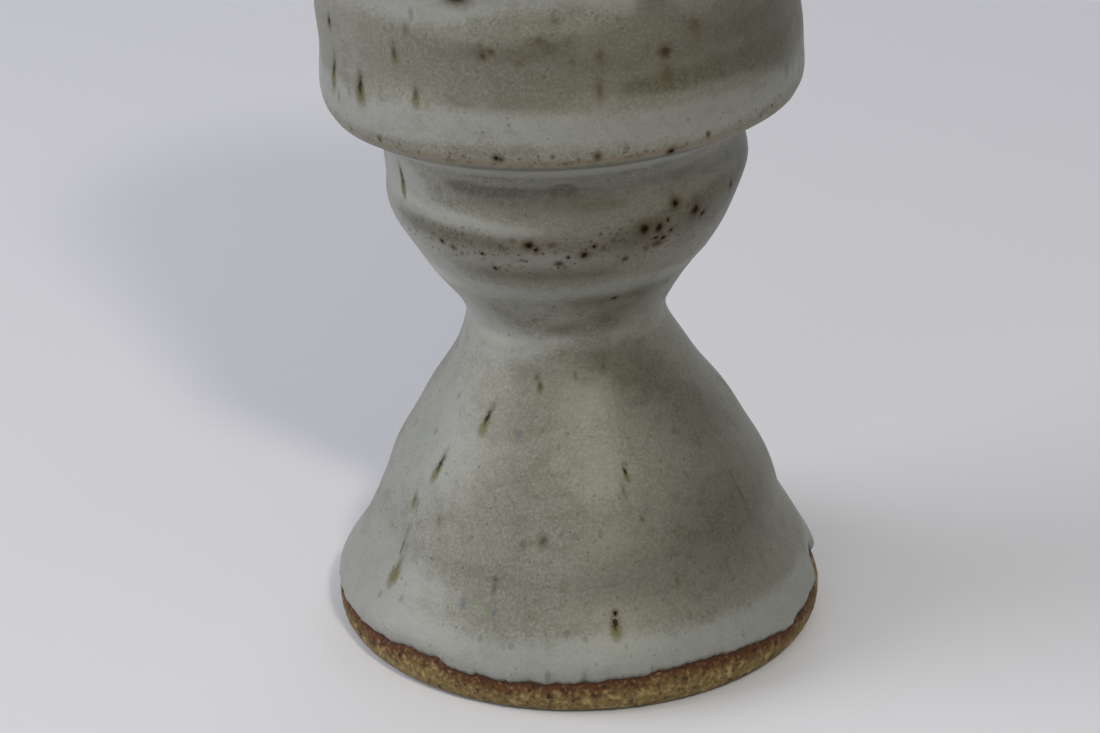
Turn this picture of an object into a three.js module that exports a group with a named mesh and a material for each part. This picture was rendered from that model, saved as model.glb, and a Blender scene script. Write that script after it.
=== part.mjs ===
import * as THREE from 'three';
import { ParametricGeometry } from 'three/addons/geometries/ParametricGeometry.js';

// A small stoneware goblet: bowl, knop and pedestal foot thrown apart, joined with slip, then glazed.
// Lengths are in millimetres with +Z up, and the origin is on the ground in the middle of the foot.

// Outside of the bowl. Its radius is that of the bulge just above its sharp lower edge.
// A rise, here and below, is the height above the place beneath.
const bowlRadius = 25.35;
const edgeInset = 1;
const edgeRise = 5.15;
const bulgeRise = 2.15;
const wallInset = 0.6;
const wallRise = 14.5;
const rimFlare = 0.55;
const rimRise = 25.8;
const lipRound = 1.25;

// Outside of the knop, whose neck is about as wide as its belly, and the joint on the neck
const knopRadius = 18.8;
const knopRise = 15.5;
const neckSpread = 0.1;
const neckRise = 4.8;
const jointRise = 1.2;

// Outside of the foot, which spreads beyond the bowl so that the goblet stands firm
const footSpread = 2.65;
const soleInset = 2.4;
const beadRise = 2.8;
const flareInset = 5.4;
const flareRise = 10.6;
const waistRadius = 10.25;
const waistRise = 24.5;

// Clay walls and hollows
const soleWidth = 3.9;
const soleRound = 0.8;
const footWall = 4.3;
const boreRadius = 4.9;
const knopWall = 4.6;
const knopMouthWall = 4.1;
const floorThickness = 5.2;
const floorRadius = 13.5;
const floorDish = 0.8;
const bowlWall = 3.3;
const bowlWellRise = 9.75;

// Slip that joins the sections, and the bead of it that was pressed out inside
const slipThickness = 0.7;
const slipBeadRadius = 0.9;

// Glaze
const glazeThickness = 0.6;
const glazeRoll = 0.18;
const glazeRollWidth = 4.5;
const glazeEdgeRise = 1.35;
const glazeEdgeWave = 0.35;
const glazeEdgeHighLift = 2;
const lipLap = 3.2;
const linerThickness = 0.55;
const seatClearance = 0.3;

// What the hand leaves: throwing rings, a lean and a tilt of all that stands above the foot
const ringDepth = 0.13;
const ringPitch = 7.6;
const waistLean = -1;
const bowlLean = -1.5;
const bowlLeanRise = 8;
const acrossTiltShare = 0.04;
const backTiltShare = 0.04;
const ovalShare = 0.004;

// Bends of the outline: how far a bend's handle reaches, as a share of the height between its ends,
// and how much the radius changes along that handle for each unit of height
const beadReachShare = 0.17;
const flareBelowReachShare = 0.33;
const flareBelowSlopeShare = -0.42;
const flareAboveReachShare = 0.465;
const flareAboveSlopeShare = -0.28;
const waistBelowReachShare = 0.245;
const waistAboveReachShare = 0.15;
const knopReachShare = 0.3;
const neckReachShare = 0.35;
const undersideSlopeShare = 0.3;
const bulgeReachShare = 0.12;
const wallReachShare = 0.38;
const rimReachShare = 0.3;
const rimSlopeShare = 0.03;
const hollowReachShare = 0.4;
const crownReachShare = 0.3;
const wellReachShare = 0.3;

// Waves of the glaze's lower edge: how many go round the foot, and the place of the first.
// At one place beside the foot the glaze stops much higher, over a narrow stretch.
const edgeWaves = 6;
const edgeWavePlaceShare = -0.06;
const highEdgePlaceShare = -0.01;
const highEdgeWidthShare = 0.035;

// How finely the curves are cut into facets, on the glaze's face and on all that lies under it
const columns = 32;
const face = { short: 3, middle: 5, long: 11 };
const under = { short: 2, middle: 3, long: 5 };
const edgeRows = 3;

// Heights above the ground, each from the place below it
const beadHeight = beadRise;
const glazeEdgeHeight = beadHeight + glazeEdgeRise;
const flareHeight = beadHeight + flareRise;
const waistHeight = flareHeight + waistRise;
const knopHeight = waistHeight + knopRise;
const neckHeight = knopHeight + neckRise;
const jointHeight = neckHeight + jointRise;
const edgeHeight = neckHeight + edgeRise;
const bulgeHeight = edgeHeight + bulgeRise;
const wallHeight = bulgeHeight + wallRise;
const bowlLeanHeight = wallHeight + bowlLeanRise;
const rimHeight = wallHeight + rimRise;

// Radii that follow from the bowl, the knop and the walls
const edgeRadius = bowlRadius - edgeInset;
const wallRadius = bowlRadius - wallInset;
const rimRadius = wallRadius + rimFlare;
const beadRadius = bowlRadius + footSpread;
const soleRadius = beadRadius - soleInset;
const flareRadius = beadRadius - flareInset;
const neckRadius = knopRadius + neckSpread;
const knopHollowRadius = knopRadius - knopWall;
const knopMouthRadius = neckRadius - knopMouthWall;

const clayColour = 0x8a5a34;
const slipColour = 0x6b5238;
const glazeColour = 0x8f9084;
const linerColour = 0x9a9a8e;

const FULL_TURN = 2 * Math.PI;

// One bend of an outline, as a cubic curve between two places with a handle at each end.
function bend(from, to, leaving, arriving, size) {
  const rise = to.y - from.y;
  const leave = leaving.reach * rise;
  const arrive = arriving.reach * rise;
  const curve = new THREE.CubicBezierCurve(
    from,
    new THREE.Vector2(from.x + leaving.slope * leave, from.y + leave),
    new THREE.Vector2(to.x - arriving.slope * arrive, to.y - arrive),
    to
  );
  return { curve, size };
}

// One round turn between two places whose tangents cross at the corner.
function turn(from, corner, to, size) {
  return { curve: new THREE.QuadraticBezierCurve(from, corner, to), size };
}

function upright(reach) {
  return { reach, slope: 0 };
}

// Places along a chain of bends, each with the direction that points out of the clay.
function walk(bends, fineness) {
  const places = [];
  bends.forEach(({ curve, size }, index) => {
    const steps = fineness[size];
    for (let step = index === 0 ? 0 : 1; step <= steps; step += 1) {
      const at = curve.getPoint(step / steps);
      const along = curve.getTangent(step / steps);
      places.push({ at, out: new THREE.Vector2(along.y, -along.x) });
    }
  });
  return places;
}

// Throwing rings: a shallow wave along the height of the wall, none on the foot's bead or on the lip.
function ringAt(height) {
  const fade =
    THREE.MathUtils.smoothstep(height, beadHeight, flareHeight) *
    (1 - THREE.MathUtils.smoothstep(height, rimHeight - ringPitch, rimHeight - lipRound));
  return ringDepth * fade * Math.cos((FULL_TURN * (height - waistHeight)) / ringPitch);
}

// The outside of the clay, from the edge of the sole to the inner end of the lip's round.
function outsidePlaces(fineness) {
  const sole = new THREE.Vector2(soleRadius, 0);
  const bead = new THREE.Vector2(beadRadius, beadHeight);
  const flare = new THREE.Vector2(flareRadius, flareHeight);
  const waist = new THREE.Vector2(waistRadius, waistHeight);
  const knop = new THREE.Vector2(knopRadius, knopHeight);
  const neck = new THREE.Vector2(neckRadius, neckHeight);
  const edge = new THREE.Vector2(edgeRadius, edgeHeight);
  const bulge = new THREE.Vector2(bowlRadius, bulgeHeight);
  const wall = new THREE.Vector2(wallRadius, wallHeight);
  const rim = new THREE.Vector2(rimRadius, rimHeight - lipRound);
  const coveTop = edgeHeight - undersideSlopeShare * (edgeRadius - neckRadius);
  const edgeTop = edgeHeight + undersideSlopeShare * (bowlRadius - edgeRadius);
  const flareBelow = { reach: flareBelowReachShare, slope: flareBelowSlopeShare };
  const flareAbove = { reach: flareAboveReachShare, slope: flareAboveSlopeShare };
  const rimHandle = { reach: rimReachShare, slope: rimSlopeShare };
  const lipRadius = rimRadius - lipRound;
  const lip = new THREE.EllipseCurve(lipRadius, rimHeight - lipRound, lipRound, lipRound, 0, Math.PI);
  return walk(
    [
      turn(sole, new THREE.Vector2(beadRadius, 0), bead, 'short'),
      bend(bead, flare, upright(beadReachShare), flareBelow, 'middle'),
      bend(flare, waist, flareAbove, upright(waistBelowReachShare), 'long'),
      bend(waist, knop, upright(waistAboveReachShare), upright(knopReachShare), 'long'),
      bend(knop, neck, upright(neckReachShare), upright(neckReachShare), 'short'),
      turn(neck, new THREE.Vector2(neckRadius, coveTop), edge, 'middle'),
      turn(edge, new THREE.Vector2(bowlRadius, edgeTop), bulge, 'short'),
      bend(bulge, wall, upright(bulgeReachShare), upright(wallReachShare), 'middle'),
      bend(wall, rim, upright(wallReachShare), rimHandle, 'long'),
      { curve: lip, size: 'middle' },
    ],
    fineness
  );
}

// The inside of the bowl's clay, from the inner end of the lip's round down to the axis.
function insidePlaces(fineness) {
  const lip = new THREE.Vector2(rimRadius - lipRound - lipRound, rimHeight - lipRound);
  const well = new THREE.Vector2(wallRadius - bowlWall, bowlFloorHeight() + bowlWellRise);
  const floorEdge = new THREE.Vector2(floorRadius, bowlFloorHeight() + floorDish);
  const floorCorner = new THREE.Vector2(wallRadius - bowlWall, bowlFloorHeight() + floorDish);
  const middle = new THREE.Vector2(0, bowlFloorHeight());
  const floorMiddle = new THREE.Vector2(floorRadius / 2, bowlFloorHeight());
  return walk(
    [
      bend(lip, well, upright(wellReachShare), upright(wellReachShare), 'long'),
      turn(well, floorCorner, floorEdge, 'middle'),
      turn(floorEdge, floorMiddle, middle, 'short'),
    ],
    fineness
  );
}

function bowlFloorHeight() {
  return bowlBaseHeight() + floorThickness;
}

function bowlBaseHeight() {
  return jointHeight + slipThickness / 2 + seatClearance;
}

// The place at a given height on a chain of places whose heights rise or fall all the way.
function placeAtHeight(places, height) {
  const next = places.findIndex(
    (place, index) => index > 0 && (place.at.y - height) * (places[index - 1].at.y - height) <= 0
  );
  const before = places[next - 1];
  const after = places[next];
  const share = (height - before.at.y) / (after.at.y - before.at.y);
  return {
    at: before.at.clone().lerp(after.at, share),
    out: before.out.clone().lerp(after.out, share).normalize(),
  };
}

// The stretch of a chain of places between two heights, with its ends at those heights.
function stretch(places, low, high) {
  const within = places.filter(({ at }) => at.y > low && at.y < high);
  return [placeAtHeight(places, low), ...within, placeAtHeight(places, high)];
}

function offsetBy(place, distance) {
  return place.at.clone().addScaledVector(place.out, distance);
}

function points(places) {
  return places.map(({ at }) => at);
}

// The lean and tilt of the whole pot. The sole stays flat and level.
function settle(geometry) {
  const position = geometry.attributes.position;
  const spot = new THREE.Vector3();
  for (let index = 0; index < position.count; index += 1) {
    spot.fromBufferAttribute(position, index);
    const raised = THREE.MathUtils.smoothstep(spot.z, 0, waistHeight);
    const oval = ovalShare * THREE.MathUtils.smoothstep(spot.z, waistHeight, edgeHeight);
    const leanAtWaist = waistLean * THREE.MathUtils.smoothstep(spot.z, flareHeight, waistHeight);
    const leanAtBowl = bowlLean * THREE.MathUtils.smoothstep(spot.z, edgeHeight, bowlLeanHeight);
    const tilt = raised * (acrossTiltShare * spot.x + backTiltShare * spot.y);
    spot.set(spot.x * (1 + oval) + leanAtWaist + leanAtBowl, spot.y * (1 - oval), spot.z + tilt);
    position.setXYZ(index, spot.x, spot.y, spot.z);
  }
  geometry.computeVertexNormals();
  return geometry;
}

// A body of revolution from a profile that runs anticlockwise, radius first and height second.
function thrown(profile) {
  const geometry = new THREE.LatheGeometry(profile, columns);
  geometry.rotateX(Math.PI / 2);
  return settle(geometry);
}

function footTopHeight() {
  return waistHeight - slipThickness / 2 - seatClearance;
}

function knopBottomHeight() {
  return waistHeight + slipThickness / 2 + seatClearance;
}

function knopTopHeight() {
  return jointHeight - slipThickness / 2 - seatClearance;
}

// The hollow under the foot: a rounded step off the sole, then a bell that closes in to the bore.
function footHollow() {
  const soleInside = soleRadius - soleWidth;
  const sole = new THREE.Vector2(soleInside, 0);
  const step = new THREE.Vector2(soleInside - soleRound, soleRound);
  const shoulder = new THREE.Vector2(flareRadius - footWall, flareHeight);
  const crown = new THREE.Vector2(boreRadius, footTopHeight());
  const belowShoulder = { reach: hollowReachShare, slope: flareBelowSlopeShare };
  const aboveShoulder = { reach: hollowReachShare, slope: flareBelowSlopeShare };
  return points(
    walk(
      [
        turn(sole, new THREE.Vector2(soleInside - soleRound, 0), step, 'short'),
        bend(step, shoulder, upright(hollowReachShare), belowShoulder, 'middle'),
        bend(shoulder, crown, aboveShoulder, upright(crownReachShare), 'long'),
      ],
      under
    )
  );
}

function pedestalFoot(outside) {
  const outer = points(outside.filter(({ at }) => at.y < footTopHeight()));
  const top = placeAtHeight(outside, footTopHeight()).at;
  const inner = footHollow().reverse();
  return thrown([...outer, top, ...inner, outer[0].clone()]);
}

// The hollow of the knop widens from the bore to the mouth that the bowl stands on.
function knopHollow() {
  const bore = new THREE.Vector2(boreRadius, knopBottomHeight());
  const belly = new THREE.Vector2(knopHollowRadius, knopHeight);
  const mouth = new THREE.Vector2(knopMouthRadius, knopTopHeight());
  return points(
    walk(
      [
        bend(bore, belly, upright(waistAboveReachShare), upright(knopReachShare), 'long'),
        bend(belly, mouth, upright(neckReachShare), upright(neckReachShare), 'short'),
      ],
      under
    )
  );
}

function knop(outside) {
  const outer = points(stretch(outside, knopBottomHeight(), knopTopHeight()));
  const inner = knopHollow().reverse();
  return thrown([...outer, ...inner, outer[0].clone()]);
}

function bowl(outside, inside) {
  const outer = points([
    placeAtHeight(outside, bowlBaseHeight()),
    ...outside.filter(({ at }) => at.y > bowlBaseHeight()),
  ]);
  const base = new THREE.Vector2(0, bowlBaseHeight());
  return thrown([base, ...outer, ...points(inside).slice(1)]);
}

// A layer of slip between two sections. Its face follows the pot, and the bead that was pressed out
// inside hangs lower than the layer by the drop.
function slipJoint(outside, height, innerRadius, drop) {
  const low = height - slipThickness / 2;
  const high = height + slipThickness / 2;
  const beadHeightInside = height - drop;
  const fromAngle = Math.asin((high - beadHeightInside) / slipBeadRadius);
  const toAngle = FULL_TURN + Math.asin((low - beadHeightInside) / slipBeadRadius);
  const beadCentre = innerRadius - seatClearance - slipBeadRadius;
  const round = new THREE.EllipseCurve(
    beadCentre,
    beadHeightInside,
    slipBeadRadius,
    slipBeadRadius,
    fromAngle,
    toAngle
  );
  const outer = points(stretch(outside, low, high));
  return thrown([...outer, ...round.getPoints(under.long + under.middle), outer[0].clone()]);
}

// How high the glaze stops above the ground, at a place given as a share of the turn round the foot.
function glazeEdgeAt(turnShare) {
  const wave = Math.cos(edgeWaves * FULL_TURN * (turnShare - edgeWavePlaceShare));
  const away = turnShare - highEdgePlaceShare;
  const fromHighEdge = (away - Math.round(away)) / highEdgeWidthShare;
  const high = Math.exp(-fromHighEdge * fromHighEdge);
  return glazeEdgeHeight + glazeEdgeWave * wave + glazeEdgeHighLift * high;
}

// The places that the outer glaze covers: from its wavy edge, up over the lip and down a lap inside.
function coatPlaces(outside, inside, edge) {
  const firstLevel = glazeEdgeHeight + glazeRollWidth;
  const lapEnd = rimHeight - lipLap;
  const low = Array.from({ length: edgeRows }, (unused, row) =>
    placeAtHeight(outside, THREE.MathUtils.lerp(edge, firstLevel, row / edgeRows))
  );
  return [
    ...low,
    placeAtHeight(outside, firstLevel),
    ...outside.filter(({ at }) => at.y > firstLevel),
    ...inside.slice(1).filter(({ at }) => at.y > lapEnd),
    placeAtHeight(inside, lapEnd),
  ];
}

// The outer glaze's face: thin at both ends, thick in the roll above its lower edge, then even.
function coatFace(places) {
  const last = places.length - 1;
  return places.map((place, row) => {
    const rise = (place.at.y - glazeEdgeHeight) / glazeRollWidth;
    const full = glazeThickness + glazeRoll * Math.exp(-rise * rise) + ringAt(place.at.y);
    const thickness = row === 0 || row === last ? glazeThickness / 2 : full;
    return offsetBy(place, seatClearance + thickness);
  });
}

// The outer glaze as one closed skin round the pot. It keeps clear of the clay by the seat clearance.
function outerGlaze(clayOutside, clayInside) {
  const fineOutside = outsidePlaces(face);
  const fineInside = insidePlaces(face);
  const around = Array.from({ length: columns }, (unused, column) => {
    const edge = glazeEdgeAt(column / columns);
    const back = coatPlaces(clayOutside, clayInside, edge).map((place) => offsetBy(place, seatClearance));
    return [...coatFace(coatPlaces(fineOutside, fineInside, edge)), ...back.reverse()];
  });
  const rows = around[0].length;
  const skin = new ParametricGeometry(
    (u, v, target) => {
      const column = Math.round(u * columns) % columns;
      const spot = around[column][Math.round(v * rows) % rows];
      const angle = (FULL_TURN * column) / columns;
      target.set(spot.x * Math.cos(angle), spot.x * Math.sin(angle), spot.y);
    },
    columns,
    rows
  );
  return settle(skin);
}

// The liner glaze covers the bowl's inside, up to where the outer glaze laps over the lip.
function linerGlaze(inside) {
  const top = rimHeight - lipLap - seatClearance;
  const covered = [placeAtHeight(inside, top), ...inside.filter(({ at }) => at.y < top)];
  const face = covered.map((place) => offsetBy(place, seatClearance + linerThickness));
  const back = covered.map((place) => offsetBy(place, seatClearance)).reverse();
  return thrown([...back, ...face]);
}

function named(name, geometry, colour, roughness) {
  const material = new THREE.MeshStandardMaterial({ color: colour, roughness, metalness: 0 });
  const mesh = new THREE.Mesh(geometry, material);
  mesh.name = name;
  return mesh;
}

function goblet() {
  const outside = outsidePlaces(under);
  const inside = insidePlaces(under);
  const clayRoughness = 0.85;
  const slipRoughness = 0.8;
  const glazeRoughness = 0.42;
  const waistSlip = slipJoint(outside, waistHeight, boreRadius, 0);
  const bowlSlip = slipJoint(outside, jointHeight, knopMouthRadius, slipBeadRadius - slipThickness / 2);
  const pot = new THREE.Group();
  pot.add(
    named('pedestal_foot', pedestalFoot(outside), clayColour, clayRoughness),
    named('waist_slip', waistSlip, slipColour, slipRoughness),
    named('knop', knop(outside), clayColour, clayRoughness),
    named('bowl_slip', bowlSlip, slipColour, slipRoughness),
    named('bowl', bowl(outside, inside), clayColour, clayRoughness),
    named('outer_glaze', outerGlaze(outside, inside), glazeColour, glazeRoughness),
    named('liner_glaze', linerGlaze(inside), linerColour, glazeRoughness)
  );
  return pot;
}

export default goblet();
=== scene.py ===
"""A small wheel-thrown stoneware goblet in a speckled grey glaze, seen from a little above.

The bowl, the knop and the pedestal foot are bodies of revolution that the potter's hand has left
uneven. Shapes are worked out in millimetres and degrees, with +Z up, the origin in the middle of
the foot's sole and -90 degrees at the front, and are written to their meshes in metres.
"""

import logging
import math
from dataclasses import dataclass, field
from enum import Enum
from functools import cached_property

import bpy
import numpy as np
from mathutils import Matrix, Vector


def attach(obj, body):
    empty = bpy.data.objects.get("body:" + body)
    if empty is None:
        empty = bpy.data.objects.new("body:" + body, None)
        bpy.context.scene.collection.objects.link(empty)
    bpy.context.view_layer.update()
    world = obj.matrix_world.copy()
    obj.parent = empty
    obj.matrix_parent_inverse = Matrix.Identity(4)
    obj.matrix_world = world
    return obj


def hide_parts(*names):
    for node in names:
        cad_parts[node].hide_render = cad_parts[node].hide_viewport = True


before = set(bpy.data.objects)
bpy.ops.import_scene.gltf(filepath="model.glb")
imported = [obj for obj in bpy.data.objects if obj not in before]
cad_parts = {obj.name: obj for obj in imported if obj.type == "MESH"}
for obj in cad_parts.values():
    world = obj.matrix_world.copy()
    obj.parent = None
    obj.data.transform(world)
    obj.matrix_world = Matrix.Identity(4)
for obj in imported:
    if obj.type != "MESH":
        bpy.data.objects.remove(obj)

Array = np.ndarray
Number = Array | float
Point = tuple[float, float]
Colour = tuple[int, int, int]
Socket = bpy.types.NodeSocket

MILLIMETRE = 0.001
FULL_TURN = 360.0
CURVE_POINTS = 64
BODY = "root"

log = logging.getLogger("goblet")


def smooth_step(value: Number, low: Number, high: Number) -> Number:
    """Rise from 0 at low to 1 at high as 3s^2 - 2s^3, where s is the share of the way."""
    share = np.clip((value - low) / (high - low), 0.0, 1.0)
    return share * share * (3.0 - 2.0 * share)


def hill(value: Number, start: Number, full: Number, leave: Number, end: Number) -> Number:
    """Rise smoothly from 0 at start to 1 at full, and fall again from leave to 0 at end."""
    return smooth_step(value, start, full) * (1.0 - smooth_step(value, leave, end))


def bell(value: Number, centre: Number, width: float) -> Number:
    """Read a bell of height 1, exp(-((value - centre) / width)^2)."""
    return np.exp(-(((value - centre) / width) ** 2))


def from_angle(angle: Number, centre: Number) -> Number:
    """Measure the way round from a centre, from -180 to 180 degrees."""
    half = FULL_TURN / 2
    return (angle - centre + half) % FULL_TURN - half


def columns_round(count: int) -> Array:
    """Give the angles of a number of columns round the pot, in degrees, in one row."""
    return (np.arange(count) * (FULL_TURN / count))[None, :]


def curve(*corners: Point) -> Array:
    """Draw a Bezier curve, the sum over its n + 1 corners P_k of C(n, k) (1-t)^(n-k) t^k P_k.

    Args:
        corners: Radius and height of both ends and, between them, of the corners that pull the line.

    Returns:
        Rows of radius and height along the curve.
    """
    t = np.linspace(0.0, 1.0, CURVE_POINTS)[:, None]
    n = len(corners) - 1
    weights = [math.comb(n, k) * (1 - t) ** (n - k) * t**k for k in range(n + 1)]
    return np.hstack(weights) @ np.array(corners)


def arc(centre: Point, size: float, way: Array) -> Array:
    """Draw part of a circle, the centre plus its size times (cos a, sin a), in rows."""
    return np.array(centre) + size * np.column_stack([np.cos(way), np.sin(way)])


@dataclass(frozen=True)
class Handle:
    """How a bend leaves its end.

    reach is a share of the height between the bend's ends, and slope is how much the radius changes
    along the handle for each unit of height.
    """

    reach: float
    slope: float = 0.0


def bend(start: Point, end: Point, leaving: Handle, arriving: Handle) -> Array:
    """Draw a cubic curve whose inner corners stand at the tips of the handles of its ends.

    Args:
        start: Radius and height at the first end.
        end: Radius and height at the last end.
        leaving: The handle of the first end.
        arriving: The handle of the last end.

    Returns:
        Rows of radius and height along the bend.
    """
    rise = end[1] - start[1]
    leave, arrive = leaving.reach * rise, arriving.reach * rise
    first = (start[0] + leaving.slope * leave, start[1] + leave)
    last = (end[0] - arriving.slope * arrive, end[1] - arrive)
    return curve(start, first, last, end)


@dataclass(frozen=True)
class Profile:
    """A line of radius and height, read by the distance along it."""

    points: Array

    @staticmethod
    def chain(*bends: Array) -> "Profile":
        """Join bends end to end, each without its first point after the first bend."""
        return Profile(np.vstack([bends[0], *(piece[1:] for piece in bends[1:])]))

    def along(self) -> Array:
        """Give the distance along the line at each of its points."""
        steps = np.hypot(*np.diff(self.points, axis=0).T)
        return np.concatenate([[0.0], np.cumsum(steps)])

    def top(self) -> int:
        """Give the number of the highest point."""
        return int(np.argmax(self.points[:, 1]))

    def at(self, distance: Number, offset: Number = 0.0) -> tuple[Array, Array]:
        """Read the line, moved along its unit normal, which is (dz, -dr) and points out of the clay.

        Args:
            distance: Distances along the line, in any shape.
            offset: How far out of the line, in the same shape or one number.

        Returns:
            Radius and height in the shape of distance.
        """
        along = self.along()
        way = np.gradient(self.points, along, axis=0)
        normal = np.column_stack([way[:, 1], -way[:, 0]])
        normal = normal / np.linalg.norm(normal, axis=1, keepdims=True)
        lines = (*self.points.T, *normal.T)
        radius, height, right, up = (np.interp(distance, along, values) for values in lines)
        return radius + offset * right, height + offset * up

    def along_at(self, height: Number) -> Number:
        """Give the distance along the line at given heights on its way up to the top."""
        rising = slice(self.top() + 1)
        return np.interp(height, self.points[rising, 1], self.along()[rising])

    def along_down(self, height: float) -> float:
        """Give the distance along the line at a height on its way down from the top."""
        falling = slice(self.top(), None)
        return float(np.interp(-height, -self.points[falling, 1], self.along()[falling]))

    def between(self, low: float, high: float) -> "Profile":
        """Cut out the stretch between two heights on the way up.

        Args:
            low: Where the stretch starts.
            high: Where it ends.

        Returns:
            The stretch.
        """
        along = self.along()
        start, end = self.along_at(low), self.along_at(high)
        inner = along[(along > start) & (along < end)]
        return Profile(np.column_stack(self.at(np.array([start, *inner, end]))))

    def spaced(self, count: int) -> Array:
        """Give rows of radius and height at equal distances along the line."""
        return np.column_stack(self.at(np.linspace(0.0, self.along()[-1], count)))


@dataclass
class Outline:
    """The driving sizes of the clay, and the lines that they give.

    A rise starts at the place beneath it, an inset and a spread go in and out from the radius above
    or below, and what follows from the driving sizes is worked out once.
    """

    bowl_radius: float = 25.35
    edge_inset: float = 1.0
    edge_rise: float = 5.15
    bulge_rise: float = 2.15
    wall_inset: float = 0.6
    wall_rise: float = 14.5
    rim_flare: float = 0.55
    rim_rise: float = 25.8
    lip_round: float = 1.25
    knop_radius: float = 18.8
    knop_rise: float = 15.5
    neck_spread: float = 0.1
    neck_rise: float = 4.8
    joint_rise: float = 1.2
    foot_spread: float = 2.65
    sole_inset: float = 2.4
    bead_rise: float = 2.8
    flare_inset: float = 5.4
    flare_rise: float = 10.6
    waist_radius: float = 10.25
    waist_rise: float = 24.5
    sole_width: float = 3.9
    sole_round: float = 0.8
    foot_wall: float = 4.3
    bore_radius: float = 4.9
    knop_wall: float = 4.6
    knop_mouth_wall: float = 4.1
    floor_thickness: float = 5.2
    floor_radius: float = 13.5
    floor_dish: float = 0.8
    bowl_wall: float = 3.3
    bowl_well_rise: float = 9.75
    slip_thickness: float = 0.7
    seat_clearance: float = 0.3
    cove_slope: float = 0.3

    def __post_init__(self) -> None:
        """Work out the radii and heights that follow from the driving sizes."""
        self.bead_radius = self.bowl_radius + self.foot_spread
        self.sole_radius = self.bead_radius - self.sole_inset
        self.flare_radius = self.bead_radius - self.flare_inset
        self.neck_radius = self.knop_radius + self.neck_spread
        self.mouth_radius = self.neck_radius - self.knop_mouth_wall
        self.edge_radius = self.bowl_radius - self.edge_inset
        self.wall_radius = self.bowl_radius - self.wall_inset
        self.rim_radius = self.wall_radius + self.rim_flare
        self.flare_height = self.bead_rise + self.flare_rise
        self.waist_height = self.flare_height + self.waist_rise
        self.knop_height = self.waist_height + self.knop_rise
        self.neck_height = self.knop_height + self.neck_rise
        self.joint_height = self.neck_height + self.joint_rise
        self.edge_height = self.neck_height + self.edge_rise
        self.bulge_height = self.edge_height + self.bulge_rise
        self.wall_height = self.bulge_height + self.wall_rise
        self.rim_height = self.wall_height + self.rim_rise
        self.lip_height = self.rim_height - self.lip_round
        joint_gap = self.slip_thickness / 2 + self.seat_clearance
        self.foot_top = self.waist_height - joint_gap
        self.knop_base = self.waist_height + joint_gap
        self.knop_top = self.joint_height - joint_gap
        self.bowl_base = self.joint_height + joint_gap
        self.floor_height = self.bowl_base + self.floor_thickness

    def outside(self) -> Profile:
        """Draw the outside of the clay.

        Returns:
            The line from the edge of the sole to the inner end of the lip.
        """
        cove_top = self.edge_height - self.cove_slope * (self.edge_radius - self.neck_radius)
        edge_top = self.edge_height + self.cove_slope * self.edge_inset
        bead = (self.bead_radius, self.bead_rise)
        flare = (self.flare_radius, self.flare_height)
        waist = (self.waist_radius, self.waist_height)
        knop = (self.knop_radius, self.knop_height)
        neck = (self.neck_radius, self.neck_height)
        edge = (self.edge_radius, self.edge_height)
        bulge = (self.bowl_radius, self.bulge_height)
        wall = (self.wall_radius, self.wall_height)
        lip_centre = (self.rim_radius - self.lip_round, self.lip_height)
        return Profile.chain(
            curve((self.sole_radius, 0.0), (self.bead_radius, 0.0), bead),
            bend(bead, flare, Handle(0.17), Handle(0.33, -0.42)),
            bend(flare, waist, Handle(0.465, -0.28), Handle(0.245)),
            bend(waist, knop, Handle(0.15), Handle(0.3)),
            bend(knop, neck, Handle(0.35), Handle(0.35)),
            curve(neck, (self.neck_radius, cove_top), edge),
            curve(edge, (self.bowl_radius, edge_top), bulge),
            bend(bulge, wall, Handle(0.12), Handle(0.38)),
            bend(wall, (self.rim_radius, self.lip_height), Handle(0.38), Handle(0.3, 0.03)),
            arc(lip_centre, self.lip_round, np.linspace(0.0, math.pi, CURVE_POINTS)),
        )

    def inside(self) -> Profile:
        """Draw the inside of the bowl's clay.

        Returns:
            The line from the inner end of the lip down to the axis.
        """
        inner_radius = self.wall_radius - self.bowl_wall
        dish_height = self.floor_height + self.floor_dish
        lip = (self.rim_radius - 2 * self.lip_round, self.lip_height)
        well = (inner_radius, self.floor_height + self.bowl_well_rise)
        dish = (self.floor_radius, dish_height)
        return Profile.chain(
            bend(lip, well, Handle(0.3), Handle(0.3)),
            curve(well, (inner_radius, dish_height), dish),
            curve(dish, (self.floor_radius / 2, self.floor_height), (0.0, self.floor_height)),
        )

    def foot_hollow(self) -> Profile:
        """Draw the hollow under the foot.

        Returns:
            The line from the inner edge of the sole up to the bore.
        """
        sole_inside = self.sole_radius - self.sole_width
        step_radius = sole_inside - self.sole_round
        step = (step_radius, self.sole_round)
        shoulder = (self.flare_radius - self.foot_wall, self.flare_height)
        slant = Handle(0.4, -0.42)
        return Profile.chain(
            curve((sole_inside, 0.0), (step_radius, 0.0), step),
            bend(step, shoulder, Handle(0.4), slant),
            bend(shoulder, (self.bore_radius, self.foot_top), slant, Handle(0.3)),
        )

    def knop_hollow(self) -> Profile:
        """Draw the hollow of the knop.

        Returns:
            The line from the bore up to the mouth under the bowl.
        """
        belly = (self.knop_radius - self.knop_wall, self.knop_height)
        return Profile.chain(
            bend((self.bore_radius, self.knop_base), belly, Handle(0.15), Handle(0.3)),
            bend(belly, (self.mouth_radius, self.knop_top), Handle(0.35), Handle(0.35)),
        )


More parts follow.
